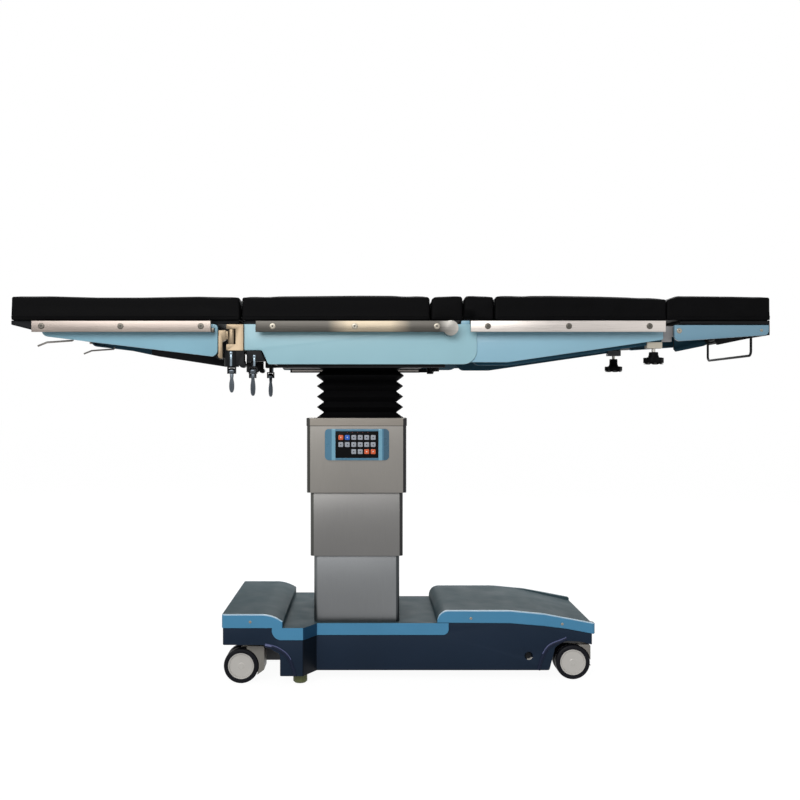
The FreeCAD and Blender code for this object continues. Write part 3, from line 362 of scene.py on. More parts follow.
def paint(name, colour, roughness=0.4, spread=0.05, coat=0.0, metallic=0.0, grain=1400.0, strength=0.05,
          gloss=0.06, specular=0.5):
    """Sprayed or moulded colour: slow drift of tone, uneven gloss and a fine orange peel."""
    material, tree, shader, place = surface(name, roughness, metallic, coat, specular)
    drift = add(tree, "TexNoise", Vector=place, Scale=5.0, Detail=3.0).outputs["Fac"]
    low, high = shades(colour, spread)
    tree.links.new(ramp(tree, drift, [(0.3, low), (0.7, high)]), shader.inputs["Base Color"])
    smear = add(tree, "TexNoise", Vector=place, Scale=18.0, Detail=4.0).outputs["Fac"]
    gloss_range(tree, shader, smear, roughness - gloss, roughness + gloss)
    peel = add(tree, "TexNoise", Vector=place, Scale=grain, Detail=2.0).outputs["Fac"]
    relief(tree, shader, peel, strength, 0.3)
    return material


def brushed(name, colour, roughness, stretch, spread=0.12, strength=0.12, metallic=1.0, zones=None):
    """Steel with a brushed grain along one direction and slow bands of tone across it.

    zones are (distance along the table in mm, colour) stops that tint it from end to end with painted
    reflections.
    """
    material, tree, shader, place = surface(name, roughness, metallic)
    grain = add(tree, "TexNoise", Vector=stretched(tree, place, stretch), Scale=1.0, Detail=6.0,
                Roughness=0.65)
    low, high = shades(colour, spread)
    lines = ramp(tree, grain.outputs["Fac"], [(0.3, low), (0.7, high)])
    slow = add(tree, "TexNoise", Vector=stretched(tree, place, (3.0, 3.0, 3.0)), Scale=1.0, Detail=1.0)
    tone = ramp(tree, slow.outputs["Fac"], [(0.35, (0.86, 0.86, 0.87, 1)), (0.65, (1, 1, 1, 1))])
    mixed = add(tree, "MixRGB", {"blend_type": "MULTIPLY"}, Fac=1.0, Color1=lines, Color2=tone)
    if zones:
        first, last = zones[0][0], zones[-1][0]
        along = add(tree, "SeparateXYZ", Vector=place).outputs["X"]
        share = add(tree, "MapRange", Value=along, From_Min=first * MM, From_Max=last * MM).outputs["Result"]
        tint = ramp(tree, share, [((x - first) / (last - first), shade) for x, shade in zones])
        mixed = add(tree, "MixRGB", {"blend_type": "MULTIPLY"}, Fac=1.0, Color1=mixed.outputs["Color"],
                    Color2=tint)
    tree.links.new(mixed.outputs["Color"], shader.inputs["Base Color"])
    gloss_range(tree, shader, grain.outputs["Fac"], roughness - 0.07, roughness + 0.07)
    relief(tree, shader, grain.outputs["Fac"], strength, 0.05)
    return material


def leatherette(name, colour):
    """Coated fabric with a fine pebbled grain over soft creases."""
    material, tree, shader, place = surface(name, 0.5, specular=0.03)
    cells = add(tree, "TexVoronoi", {"feature": "DISTANCE_TO_EDGE"}, Vector=place, Scale=620.0)
    pebbles = add(tree, "MapRange", Value=cells.outputs["Distance"], From_Min=0.0, From_Max=0.35)
    creases = add(tree, "TexNoise", Vector=place, Scale=26.0, Detail=5.0, Distortion=0.6)
    height = add(tree, "Math", {"operation": "MULTIPLY_ADD"})
    tree.links.new(creases.outputs["Fac"], height.inputs[0])
    height.inputs[1].default_value = 1.5
    tree.links.new(pebbles.outputs["Result"], height.inputs[2])
    # Painted shade: the tone follows the creases that raise the relief, darker in their hollows.
    low, high = shades(colour, 0.18)
    tree.links.new(ramp(tree, creases.outputs["Fac"], [(0.35, low), (0.65, high)]),
                   shader.inputs["Base Color"])
    gloss_range(tree, shader, creases.outputs["Fac"], 0.44, 0.58)
    relief(tree, shader, height.outputs["Value"], 0.18, 0.25)
    return material


# Painted reflections along the seat rail: a dark reflection tone, one bright painted highlight in its middle
# and a pale painted highlight at its rear end
RAIL_DARK_REFLECTION, RAIL_PAINTED_HIGHLIGHT, RAIL_END_PAINTED_HIGHLIGHT = srgb(78, 77, 75), srgb(150, 141, 126), srgb(188, 188, 186)
RAIL_FROM, RAIL_TO, END_HIGHLIGHT_FROM = -365, 180, 130
HIGHLIGHT_FROM, HIGHLIGHT_TO, HIGHLIGHT_FADE = -115, 0, 55
SEAT_RAIL_PAINTED_REFLECTIONS = [(RAIL_FROM, RAIL_DARK_REFLECTION), (HIGHLIGHT_FROM - HIGHLIGHT_FADE, RAIL_DARK_REFLECTION), (HIGHLIGHT_FROM, RAIL_PAINTED_HIGHLIGHT),
                   (HIGHLIGHT_TO, RAIL_PAINTED_HIGHLIGHT), (HIGHLIGHT_TO + HIGHLIGHT_FADE, RAIL_DARK_REFLECTION), (END_HIGHLIGHT_FROM, RAIL_DARK_REFLECTION),
                   (RAIL_TO, RAIL_END_PAINTED_HIGHLIGHT)]

pad_cover = leatherette("pad_cover_black", srgb(11, 11, 12))
# Painted light and shade: one light blue paint in four copies, lighter or darker by section, the head copy
# darkest.
panel_seat = paint("panel_light_blue_seat", srgb(158, 202, 214), 0.38, 0.04, coat=0.15)
panel_rear = paint("panel_light_blue_back", srgb(147, 193, 213), 0.38, 0.04, coat=0.15)
panel_leg = paint("panel_light_blue_leg", srgb(137, 186, 205), 0.38, 0.04, coat=0.15)
panel_head = paint("panel_light_blue_head", srgb(112, 154, 176), 0.38, 0.04, coat=0.15)
# Painted shade: the inner faces of the side panels, teal for the blue paint in shade.
panel_inside_painted_shade = paint("panel_inside_painted_shade_teal", srgb(46, 88, 108), 0.5, 0.10)
band_blue = paint("base_band_blue", srgb(77, 142, 181), 0.34, 0.05, specular=0.25)
# Painted shade for the band's step towards the head end.
band_painted_shade = paint("base_band_blue_painted_shade", srgb(34, 72, 102), 0.34, 0.05, specular=0.08)
cover_grey = paint("cover_top_grey_teal", srgb(66, 84, 90), 0.5, 0.07, specular=0.02, strength=0.02)
# Painted highlight along the upper rims of the base covers.
rim_painted_highlight = paint("cover_rim_painted_highlight", srgb(172, 205, 226), 0.3, 0.03, coat=0.15)
skirt_navy = paint("skirt_navy", srgb(31, 44, 61), 0.4, 0.08, specular=0.08)
# Painted shade for the skirt's step towards the head end and for the socket rim.
skirt_painted_shade = paint("skirt_navy_painted_shade", srgb(14, 22, 32), 0.4, 0.08, specular=0.05)
skirt_lip = paint("skirt_lip", srgb(32, 40, 60), 0.35, 0.05, specular=0.08)
# Painted highlight on the upper part of the arch lips.
lip_painted_highlight = paint("skirt_lip_painted_highlight", srgb(96, 102, 140), 0.3, 0.05, specular=0.2)
frame_black = paint("frame_black", srgb(18, 19, 22), 0.5, 0.15, specular=0.12)
# Painted shade: dark teal standing for the blue paint in shade under the table top.
frame_teal_painted_shade = paint("frame_teal_painted_shade", srgb(36, 74, 92), 0.5, 0.10, specular=0.12)
frame_steel = paint("frame_grey_steel", srgb(148, 146, 147), 0.45, 0.10, metallic=0.2, grain=700.0)
clamp_pale = paint("clamp_block_pale", srgb(188, 180, 164), 0.45, 0.05, metallic=0.2)
chassis_grey = paint("chassis_grey", srgb(56, 58, 62), 0.5, 0.12)
unit_grey = paint("unit_grey", srgb(90, 93, 98), 0.5, 0.10)
castor_grey = paint("castor_cast_grey", srgb(128, 125, 119), 0.42, 0.06, metallic=0.2, specular=0.3)
hub_grey = paint("castor_hub_satin", srgb(188, 185, 180), 0.4, 0.04, metallic=0.35)
tyre_black = paint("castor_tyre", srgb(12, 13, 19), 0.5, 0.15, specular=0.12)
lock_olive = paint("lock_foot_olive", srgb(98, 104, 64), 0.6, 0.12)
bellows_black = paint("bellows_rubber", srgb(8, 8, 9), 0.6, 0.2, specular=0.05)
knob_black = paint("knob_black", srgb(13, 13, 14), 0.5, 0.15, specular=0.04)
bezel_blue = paint("bezel_blue", srgb(66, 120, 148), 0.25, 0.04, coat=0.2)
# Painted shade for the bezel's outer part on the head-end side and painted highlight for the bands beside the
# key field.
bezel_painted_shade = paint("bezel_blue_painted_shade", srgb(44, 90, 114), 0.25, 0.04, coat=0.1)
bezel_painted_highlight = paint("bezel_band_painted_highlight", srgb(112, 166, 190), 0.25, 0.04, coat=0.2)
seat_rail_steel = brushed("seat_rail_brushed_steel", srgb(236, 232, 226), 0.32, (14.0, 900.0, 900.0),
                          zones=SEAT_RAIL_PAINTED_REFLECTIONS)
# Painted reflection: the back and leg rails are one steel given two tones, the leg rail's darker.
rail_steel = brushed("rail_brushed_steel", srgb(193, 186, 180), 0.32, (14.0, 900.0, 900.0))
leg_rail_steel = brushed("leg_rail_brushed_steel", srgb(144, 134, 127), 0.32, (14.0, 900.0, 900.0))
bracket_steel = brushed("bracket_satin_steel", srgb(134, 119, 99), 0.42, (300.0, 300.0, 40.0))
column_steel = brushed("column_brushed_steel", srgb(138, 135, 130), 0.42, (700.0, 700.0, 16.0), 0.06, 0.06)
column_steel_middle = brushed("column_brushed_steel_middle", srgb(122, 121, 119), 0.42, (700.0, 700.0, 16.0),
                              0.06, 0.06)
column_steel_lower = brushed("column_brushed_steel_lower", srgb(122, 124, 125), 0.42, (700.0, 700.0, 16.0),
                             0.06, 0.06)
collar_steel = brushed("column_collar_steel", srgb(125, 120, 113), 0.42, (16.0, 700.0, 700.0), 0.06, 0.06)
guide_steel = brushed("guide_ground_steel", srgb(140, 142, 146), 0.4, (500.0, 500.0, 20.0))
rod_steel = brushed("rod_bright_steel", srgb(182, 178, 172), 0.24, (60.0, 60.0, 60.0))
lever_steel = brushed("lever_dark_steel", srgb(120, 116, 112), 0.3, (60.0, 60.0, 60.0))

CAD_FINISH = {
    "base_chassis": chassis_grey,
    "power_unit": unit_grey,
    "lift_guide_lower": guide_steel,
    "lift_guide_middle": guide_steel,
    "lift_guide_upper": guide_steel,
    "lift_cylinder": guide_steel,
    "tilt_cross": guide_steel,
    "seat_frame": frame_black,
    "kidney_bridge": frame_black,
    "back_frame": frame_black,
    "head_frame": frame_black,
    "leg_frame": frame_black,
    "leg_mount_brackets": bracket_steel,
    "leg_arm": bracket_steel,
    "head_bail": frame_black,
    "leg_lever": lever_steel,
    "floor_lock_feet": lock_olive,
    "castor_housing": castor_grey,
    "castor_wheels": tyre_black,
    "base_skirt": skirt_navy,
    "base_deck": band_blue,
    "foot_end_cover": band_blue,
    "head_end_cover": band_blue,
    "column_cover": column_steel,
    "bellows": bellows_black,
    "control_bezel": bezel_blue,
    "control_keypad": knob_black,
    "seat_side_panels": panel_seat,
    "back_side_panels": panel_rear,
    "head_side_panels": panel_head,
    "leg_panel": panel_leg,
    "seat_rails": seat_rail_steel,
    "back_rails": rail_steel,
    "leg_rail": leg_rail_steel,
    "seat_pad": pad_cover,
    "kidney_pad": pad_cover,
    "lower_back_pad": pad_cover,
    "back_pad": pad_cover,
    "head_pad": pad_cover,
    "leg_pad": pad_cover,
    "spread_handle": knob_black,
    "post_handle": knob_black,
    "head_clamp_knob": knob_black,
}


def finish_cad_nodes():
    """Give every CAD node the material of its longest matching name."""
    for name, piece in nodes.items():
        key = max((k for k in CAD_FINISH if name.startswith(k)), key=len)
        for index in range(max(len(piece.material_slots), 1)):
            if not piece.material_slots:
                piece.data.materials.append(CAD_FINISH[key])
            piece.material_slots[index].material = CAD_FINISH[key]


finish_cad_nodes()


# Softened copies of the hard parts

SOFTENED = {
    "seat_rails": (0.5, seat_rail_steel, "rail_steel"),
    "back_rails": (0.5, rail_steel, "rail_steel"),
    "leg_rail_left": (0.5, leg_rail_steel, "rail_steel"),
    "leg_rail_right": (0.5, leg_rail_steel, "rail_steel"),
    "leg_arm_left": (0.6, bracket_steel, "bracket_steel"),
    "leg_arm_right": (0.6, bracket_steel, "bracket_steel"),
    "head_bail": (0.3, frame_black, "rod_steel"),
    "leg_lever_left": (0.3, lever_steel, "rod_steel"),
    "leg_lever_right": (0.3, lever_steel, "rod_steel"),
}


def soften_nodes():
    for node, (width, material, slot) in SOFTENED.items():
        piece = cad_copy(node, node + "_finished")
        soften(piece, width, 2)
        dress(piece, material, nodes[node]["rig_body"], slot, node)
    for end in ("foot", "head"):
        for side, way in SIDES:
            node = "castor_housing_" + end + "_" + side
            piece = cad_copy(node, node + "_cast")
            soften(piece, 1.6, 3)
            dress(piece, castor_grey, "castor_swivel_" + end + "_" + side, "castor_grey", node)


soften_nodes()


# Blue band and raised covers of the base

def paint_faces(piece, materials, choose):
    """Give each face the material whose number choose returns for its middle and normal."""
    piece.data.materials.clear()
    for material in materials:
        piece.data.materials.append(material)
    for face in piece.data.polygons:
        face.material_index = choose(face.center / MM, face.normal)


COVER_FACES = {"base_deck": 999.0, "foot_end_cover": 245.0, "head_end_cover": 186.0}
# Reach of the painted highlight: over the rounded rim, and onto the top beside it.
COVER_RIM = 3.6
RIM_TOP = 6.0


def on_chamfer(middle, normal):
    """Whether a face looks towards the head end at the step between the wide and the narrow base."""
    return normal.x > 0.3 and abs(normal.y) > 0.3 and abs(normal.z) < 0.3 and -305.0 < middle.x < -205.0


def base_covers():
    """Blue on the outer sides, a painted highlight along the upper rims, painted shade on the step towards
    the head end, grey on top and towards the column.
    """
    for node, width in (("base_deck", 1.2), ("foot_end_cover", 1.2), ("head_end_cover", 1.2)):
        piece = cad_copy(node, node + "_moulded")
        soften(piece, width, 3)
        face = COVER_FACES[node]
        if face < 999.0:
            cut_across(piece, (RIM_TOP - face, face - RIM_TOP), "Y")
        even_normals(piece)

        def finish(middle, normal):
            inward = normal.y * middle.y < 0
            on_rim = abs(middle.y) > face - COVER_RIM and 0.12 < normal.z < 0.985
            # Painted highlight on the rounded upper rim and on a strip of the top beside it.
            if on_rim and abs(normal.x) < 0.8 and not inward:
                return 2
            if abs(middle.y) > face - RIM_TOP and normal.z > 0.9:
                return 2
            # Painted shade on the step towards the head end.
            if on_chamfer(middle, normal):
                return 3
            outer_end = normal.x * middle.x > 0 and abs(normal.x) > 0.5 and not -440.0 < middle.x < 550.0
            return 0 if normal.z < 0.75 and (abs(normal.y) > 0.5 and not inward or outer_end) else 1

        paint_faces(piece, (band_blue, cover_grey, rim_painted_highlight, band_painted_shade), finish)
        dress(piece, None, "root", "base_blue", node)
    skirt = cad_copy("base_skirt", "base_skirt_finished")
    soften(skirt, 1.2, 2)
    # Painted shade on the skirt's step towards the head end.
    paint_faces(skirt, (skirt_navy, skirt_painted_shade),
                lambda middle, normal: 1 if on_chamfer(middle, normal) else 0)
    dress(skirt, None, "root", "base_navy", "base_skirt")


base_covers()


# Heights of the dark line painted under the collar lip as its shadow.
COLLAR_SHADOW_LINE = (708.0, 709.4)


def column_covers():
    """Brushed faces with painted shade round the folded corners, deeper on the corners facing the head end,
    and a paler collar above a dark line at the joint, painted as the shadow under the collar lip.
    """
    for part, steel, corner, far_corner in (("lower", column_steel_lower, (104, 107, 108), (70, 74, 76)),
                                            ("middle", column_steel_middle, (84, 84, 81), (58, 58, 58)),
                                            ("upper", column_steel, (70, 70, 67), (52, 52, 53))):
        node = "column_cover_" + part
        edge = brushed(node + "_corner", srgb(*corner), 0.42, (700.0, 700.0, 16.0), 0.06, 0.06)
        edge_far = brushed(node + "_far_corner", srgb(*far_corner), 0.42, (700.0, 700.0, 16.0), 0.06, 0.06)
        piece = cad_copy(node, node + "_finished")
        soften(piece, 0.5, 2)
        cut_across(piece, COLLAR_SHADOW_LINE, "Z")

        def finish(middle, normal):
            # Painted shade: the line under the collar lip and the folded corners, deeper on those facing the
            # head end.
            if COLLAR_SHADOW_LINE[0] < middle.z < COLLAR_SHADOW_LINE[1]:
                return 3
            if min(abs(normal.x), abs(normal.y)) > 0.1 and abs(normal.z) < 0.3:
                return 3 if normal.x > 0 else 1
            return 2 if middle.z > COLLAR_SHADOW_LINE[1] else 0

        paint_faces(piece, (steel, edge, collar_steel, edge_far), finish)
        dress(piece, None, nodes[node]["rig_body"], "column_steel", node)


column_covers()


def arch_lip(name, points, face):
    """A rounded lip along a wheel arch, let half into the skirt on both sides."""
    sides = []
    for side, way in SIDES:
        piece = drawn(name, [(x, way * face, z) for x, z in points])
        close_mesh()
        finer = piece.modifiers.new("smooth line", "SUBSURF")
        finer.levels = finer.render_levels = 3
        apply_all(piece)
        bpy.ops.object.convert(target="CURVE")
        piece.data.bevel_depth = 6.0 * MM
        piece.data.bevel_resolution = 3
        piece.data.use_fill_caps = True
        bpy.ops.object.convert(target="MESH")
        shade(piece, 60)
        sides.append(piece)
    piece = joined(name, sides)
    # Painted highlight on the upward faces of the upper part of the lip.
    paint_faces(piece, (skirt_lip, lip_painted_highlight),
                lambda middle, normal: 1 if middle.z > 74.0 and normal.z > 0.3 else 0)
    dress(piece, None, "root", "base_navy")


def socket_rings():
    """A rim round the socket hole of the skirt, bright at the bottom where it catches the light."""
    rings = []
    for side, way in SIDES:
        ring = turned("socket_rim",
                      [(11.2, way * -0.6), (11.4, way * 0.6), (10.4, way * 1.0), (8.8, way * -1.0),
                       (8.4, way * -6.0), (10.4, way * -6.0), (11.2, way * -0.6)],
                      (386.0, way * 183.5, 68.5), steps=40)
        shade(ring, 50)
        rings.append(ring)
    piece = joined("socket_rims", rings)
    # Painted highlight on the lower faces, painted shade on the rest.
    paint_faces(piece, (skirt_painted_shade, hub_grey),
                lambda middle, normal: 1 if middle.z < 64.5 and middle.x > 381.0 else 0)
    dress(piece, None, "root", "base_navy")


# Outer faces of the skirt at its foot end and head end
FOOT_ARCH_FACE, HEAD_ARCH_FACE = 240.2, 181.2

socket_rings()
arch_lip("foot_arch_lip",
         [(-342, 112), (-318, 108), (-298, 98), (-281, 84), (-271, 65), (-264, 46), (-260, 29)],
         FOOT_ARCH_FACE)
arch_lip("head_arch_lip",
         [(492, 116), (474, 108), (450, 100), (439, 91), (429, 75), (420, 55), (416, 38), (413, 29)],
         HEAD_ARCH_FACE)


def hinge_brackets():
    """Satin steel plates on top, black clamp bodies below."""
    piece = cad_copy("leg_mount_brackets", "leg_brackets_machined")
    soften(piece, 0.6, 2)

    def finish(middle, normal):
        within = 932.0 < middle.z < 973.8 and middle.x < -420.9 and abs(normal.y) < 0.5
        round_pin = within and middle.x < -421.5 and abs(normal.z) < 0.5
        behind = abs(middle.y) < 225.9
        return 1 if middle.z < 914.8 or (within and not round_pin) or (behind and not round_pin) else 0

    paint_faces(piece, (bracket_steel, frame_black), finish)
    dress(piece, None, "seat", "bracket_steel", "leg_mount_brackets")


hinge_brackets()


# Frames under the pads: black plates, side bars in teal painted shade, bare hinge and clamp blocks, the far
# clamp block in painted shade

def back_finish(middle, normal):
    if abs(middle.y) < 202.0 or middle.z > 987.0:
        return 0
    if middle.x > 744.0:
        return 2
    # Painted shade: the far clamp block takes the darker chassis grey, the near one the pale clamp colour.
    if middle.x > 700.0 and middle.z < 939.2:
        return 3 if middle.y < 0 else 4
    # Painted shade: the side bars take the dark teal.
    return 1


def head_finish(middle, normal):
    # Painted shade: inward faces of the side bars take the dark teal.
    return 1 if abs(middle.y) > 170.0 and abs(normal.y) > 0.9 and normal.y * middle.y < 0 else 0


def leg_finish(middle, normal):
    return 1 if abs(middle.y) < 21.0 and middle.x < -700.0 and middle.z < 987.0 else 0


def painted_frames():
    for node, finish, cuts in (("back_frame", back_finish, (744.0,)), ("head_frame", head_finish, ()),
                               ("leg_frame_left", leg_finish, (-700.0,)),
                               ("leg_frame_right", leg_finish, (-700.0,))):
        piece = cad_copy(node, node + "_painted")
        soften(piece, 0.4, 1)
        cut_across(piece, cuts, "X")
        paint_faces(piece, (frame_black, frame_teal_painted_shade, frame_steel, clamp_pale, chassis_grey), finish)
        dress(piece, None, nodes[node]["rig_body"], "frame_black", node)


painted_frames()


def small_plates():
    """Blue lugs beside the back hinge, the bright edge of the seat pan and the studs of the clamps."""
    lugs, strips = [], []
    for side, way in SIDES:
        low, high = sorted((way * 234.5, way * 238.5))
        lugs.append(block("hinge_lug_" + side, (193, low, 984), (216, high, 997)))
        low, high = sorted((way * 214.8, way * 216.2))
        strips.append(block("pan_edge_" + side, (-305, low, 872.5), (100, high, 877.5)))
    for lug in lugs:
        soften(lug, 1.0, 2)
    dress(joined("hinge_lugs", lugs), panel_rear, "back", "panel_blue")
    dress(joined("pan_edges", strips), rail_steel, "seat", "rail_steel")
    ends = [block("pan_end_" + side, (103, min(way * 216.0, way * 226.0), 869.5),
                  (150, max(way * 216.0, way * 226.0), 881)) for side, way in SIDES]
    for end in ends:
        soften(end, 1.5, 2)
    dress(joined("pan_ends", ends), frame_black, "seat", "frame_black")
    studs = []
    for x, z, depth in ((-432.0, 908.0, 258.2), (-370.0, 899.5, 250.2)):
        for side, way in SIDES:
            stem = block("stem_" + side, (x - 3.0, way * depth - 1.4, 872), (x + 3.0, way * depth + 1.4, z))
            soften(stem, 1.1, 3)
            dome = turned("stud_" + side, [(4.6, 0.0), (4.6, way * 1.6), (3.2, way * 2.8), (0, way * 3.1)],
                          (x, way * depth, z), steps=24)
            shade(dome, 60)
            studs += [stem, dome]
    dress(joined("clamp_studs", studs), stud_steel, "seat", "rail_steel")


stud_steel = brushed("stud_bright_steel", srgb(126, 140, 150), 0.24, (80.0, 80.0, 80.0))
small_plates()


# Side panels of the table top: light blue outside, lighter or darker by section in painted light and shade,
# and painted shade on the inside faces

def side_panels():
    for node, outside in (("seat_side_panels", panel_seat), ("back_side_panels", panel_rear),
                          ("head_side_panels", panel_head), ("leg_panel_left", panel_leg),
                          ("leg_panel_right", panel_leg)):
        piece = cad_copy(node, node + "_moulded")
        soften(piece, 1.2, 3)

        def inward(middle, normal):
            return 1 if abs(normal.y) > 0.7 and normal.y * middle.y < 0 else 0

        # Inner faces get painted shade.
        paint_faces(piece, (outside, panel_inside_painted_shade), inward)
        dress(piece, None, nodes[node]["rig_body"], "panel_blue", node)


side_panels()


# Pads

SEAM_HEIGHT = 9.0
PIPING_RADIUS = 1.1


def section_ring(piece, z):
    """The outline of a closed piece at height z, as a separate ring of edges."""
    ring = copied(piece, piece.name + "_ring")
    open_mesh(ring)
    bpy.ops.mesh.select_all(action="SELECT")
    bpy.ops.mesh.bisect(plane_co=(0, 0, z * MM), plane_no=(0, 0, 1), clear_inner=True, clear_outer=True)
    close_mesh()
    return ring


def piping(piece, z, radius):
    """A thin welded bead round a pad."""
    ring = section_ring(piece, z)
    only(ring)
    bpy.ops.object.convert(target="CURVE")
    ring.data.bevel_depth = radius * MM
    ring.data.bevel_resolution = 1
    bpy.ops.object.convert(target="MESH")
    shade(ring, 60)
    return ring


def inflate(piece, bottom, bulge):
    """Blow the pad up a little by cloth simulation; its underside stays on the plate."""
    rest = [point.co.copy() for point in piece.data.vertices]
    resting = piece.vertex_groups.new(name="resting")
    resting.add([i for i, p in enumerate(rest) if p.z < (bottom + 4.0) * MM], 1.0, "REPLACE")
    cloth = piece.modifiers.new("cover", "CLOTH")
    cloth.settings.vertex_group_mass = resting.name
    cloth.settings.use_pressure = True
    cloth.settings.uniform_pressure_force = 4.0
    cloth.settings.effector_weights.gravity = 0.0
    cloth.settings.quality = 4
    cloth.collision_settings.use_collision = False
    scene = bpy.context.scene
    for number in range(1, 21):
        scene.frame_set(number)
    only(piece)
    bpy.ops.object.modifier_apply(modifier=cloth.name)
    for point, start in zip(piece.data.vertices, rest):
        step = (point.co - start) / MM
        step = Vector([max(-most, min(most, far)) for far, most in zip(step, bulge)])
        point.co = start + step * MM
    piece.vertex_groups.clear()
    scene.frame_set(1)


def height_at(line, x):
    """The height at x on a line of (x, z) points."""
    for (x0, z0), (x1, z1) in zip(line, line[1:]):
        if x <= x1:
            return z0 + (z1 - z0) * max(0.0, x - x0) / (x1 - x0)
    return line[-1][1]


def level_top(piece, line, low, high):
    """Bring the pad's top to its line, and the side walls with it by their height."""
    for point in piece.data.vertices:
        share = max(0.0, min(1.0, (point.co.z / MM - low) / (high - low)))
        point.co.z += (height_at(line, point.co.x / MM) - high) * MM * share * share * (3 - 2 * share)


def cushion(name, node, line, ends=(0.4, 0.4), pitch=14.0):
    """A firm foam pad in a coated cover, with small edge radii, its own top line and a welded bead."""
    low, high = [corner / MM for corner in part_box(node)]
    low = Vector((low.x + ends[0], low.y + 1.5, low.z))
    high = Vector((high.x - ends[1], high.y - 1.5, high.z - 3.0))
    piece = block(name, low, high)
    open_mesh(piece)
    pick_edges(piece, lambda p, d: abs(d.z) > 0.9)
    bpy.ops.mesh.bevel(offset=6 * MM, segments=4, affect="EDGES")
    for axis in range(3):
        parts = round((high[axis] - low[axis]) / pitch)
        normal = Vector([float(axis == way) for way in range(3)])
        for number in range(1, parts):
            place = low[axis] + (high[axis] - low[axis]) * number / parts
            bpy.ops.mesh.select_all(action="SELECT")
            bpy.ops.mesh.bisect(plane_co=normal * place * MM, plane_no=normal)
    close_mesh()
    bevel = piece.modifiers.new("rounding", "BEVEL")
    bevel.width = 3.6 * MM
    bevel.segments = 3
    bevel.limit_method = "ANGLE"
    bevel.angle_limit = math.radians(50)
    apply_all(piece)
    inflate(piece, low.z, (1.0, 1.4, 2.6))
    finer = piece.modifiers.new("finer", "SUBSURF")
    finer.levels = finer.render_levels = 1
    apply_all(piece)
    level_top(piece, line, low.z + 12.0, high.z)
    shade(piece, 60)
    bead = piping(piece, low.z + SEAM_HEIGHT, PIPING_RADIUS)
    return joined(name, [piece, bead])


# How far each pad is drawn in at its foot end and head end; below zero it reaches past its solid
PAD_ENDS = {"leg_pad_left": (0.4, -2.4), "seat_pad": (-1.0, 0.2), "kidney_pad": (0.6, 0.2),
            "lower_back_pad": (0.0, 0.2),
            "back_pad": (0.4, -3.6), "head_pad": (0.0, 0.4)}
# Top line of each pad from its foot end to its head end, as (x, height)
PAD_LINES = {
    "leg_pad_left": [(-1040, 1061.5), (-930, 1062), (-800, 1058.5), (-680, 1058.5), (-525, 1061),
                     (-410, 1059)],
    "seat_pad": [(-405, 1060), (-300, 1062), (-80, 1064), (20, 1063.5), (100, 1061.5), (108, 1058.5)],
    "kidney_pad": [(112, 1055), (120, 1060), (180, 1062), (190, 1062), (197, 1058)],
    "lower_back_pad": [(200, 1057.5), (207, 1062.5), (225, 1062.5), (275, 1060.5), (281, 1059)],
    "back_pad": [(286, 1061), (291, 1063), (440, 1063.5), (565, 1061.5), (705, 1057.5), (750, 1054.5)],
    "head_pad": [(757, 1053.5), (783, 1062.5), (930, 1061), (1040, 1059)],
}


# Pads by a folding joint: the joint, the end that stays put and the share that is kept; each only gets its
# own mesh here
PAD_FOLDS = {"kidney_pad": ("back_hinge", 111.0, 0.4), "lower_back_pad": ("back_hinge", 278.0, 0.35),
             "head_pad": ("head_hinge", 1035.0, 0.78)}


def clear_seat_panel(piece):
    """Draw the lower corner of the pad inwards where the seat panels pass it as the back goes down."""
    for point in piece.data.vertices:
        x, y, z = point.co / MM
        reach = 232.0 if z < 1006.0 else 237.0 if z < 1017.0 else 260.0
        if x < 232.0 and abs(y) > reach:
            point.co.y = math.copysign(reach, y) * MM


def pads():
    left = cushion("leg_pad_left_cushion", "leg_pad_left", PAD_LINES["leg_pad_left"],
                   PAD_ENDS["leg_pad_left"])
    right = copied(left, "leg_pad_right_cushion", mirror=True)
    dress(left, pad_cover, "leg_left", "pad_cover", "leg_pad_left")
    dress(right, pad_cover, "leg_right", "pad_cover", "leg_pad_right")
    for node in ("seat_pad", "back_pad", "head_pad", "kidney_pad", "lower_back_pad"):
        piece = cushion(node + "_cushion", node, PAD_LINES[node], PAD_ENDS[node])
        if node == "lower_back_pad":
            clear_seat_panel(piece)
        dress(piece, pad_cover, nodes[node]["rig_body"], "pad_cover", node)
        if node in PAD_FOLDS:
            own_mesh(piece)


pads()


# Bellows in two halves that meet at the tilting cross

BELLOWS_BOTTOM, BELLOWS_TOP = 730.9, 879.7
BELLOWS_TIP = (123.0, 150.0)
BELLOWS_VALLEY = (103.5, 130.5)
BELLOWS_FOLDS = 10
BELLOWS_X = -84.0


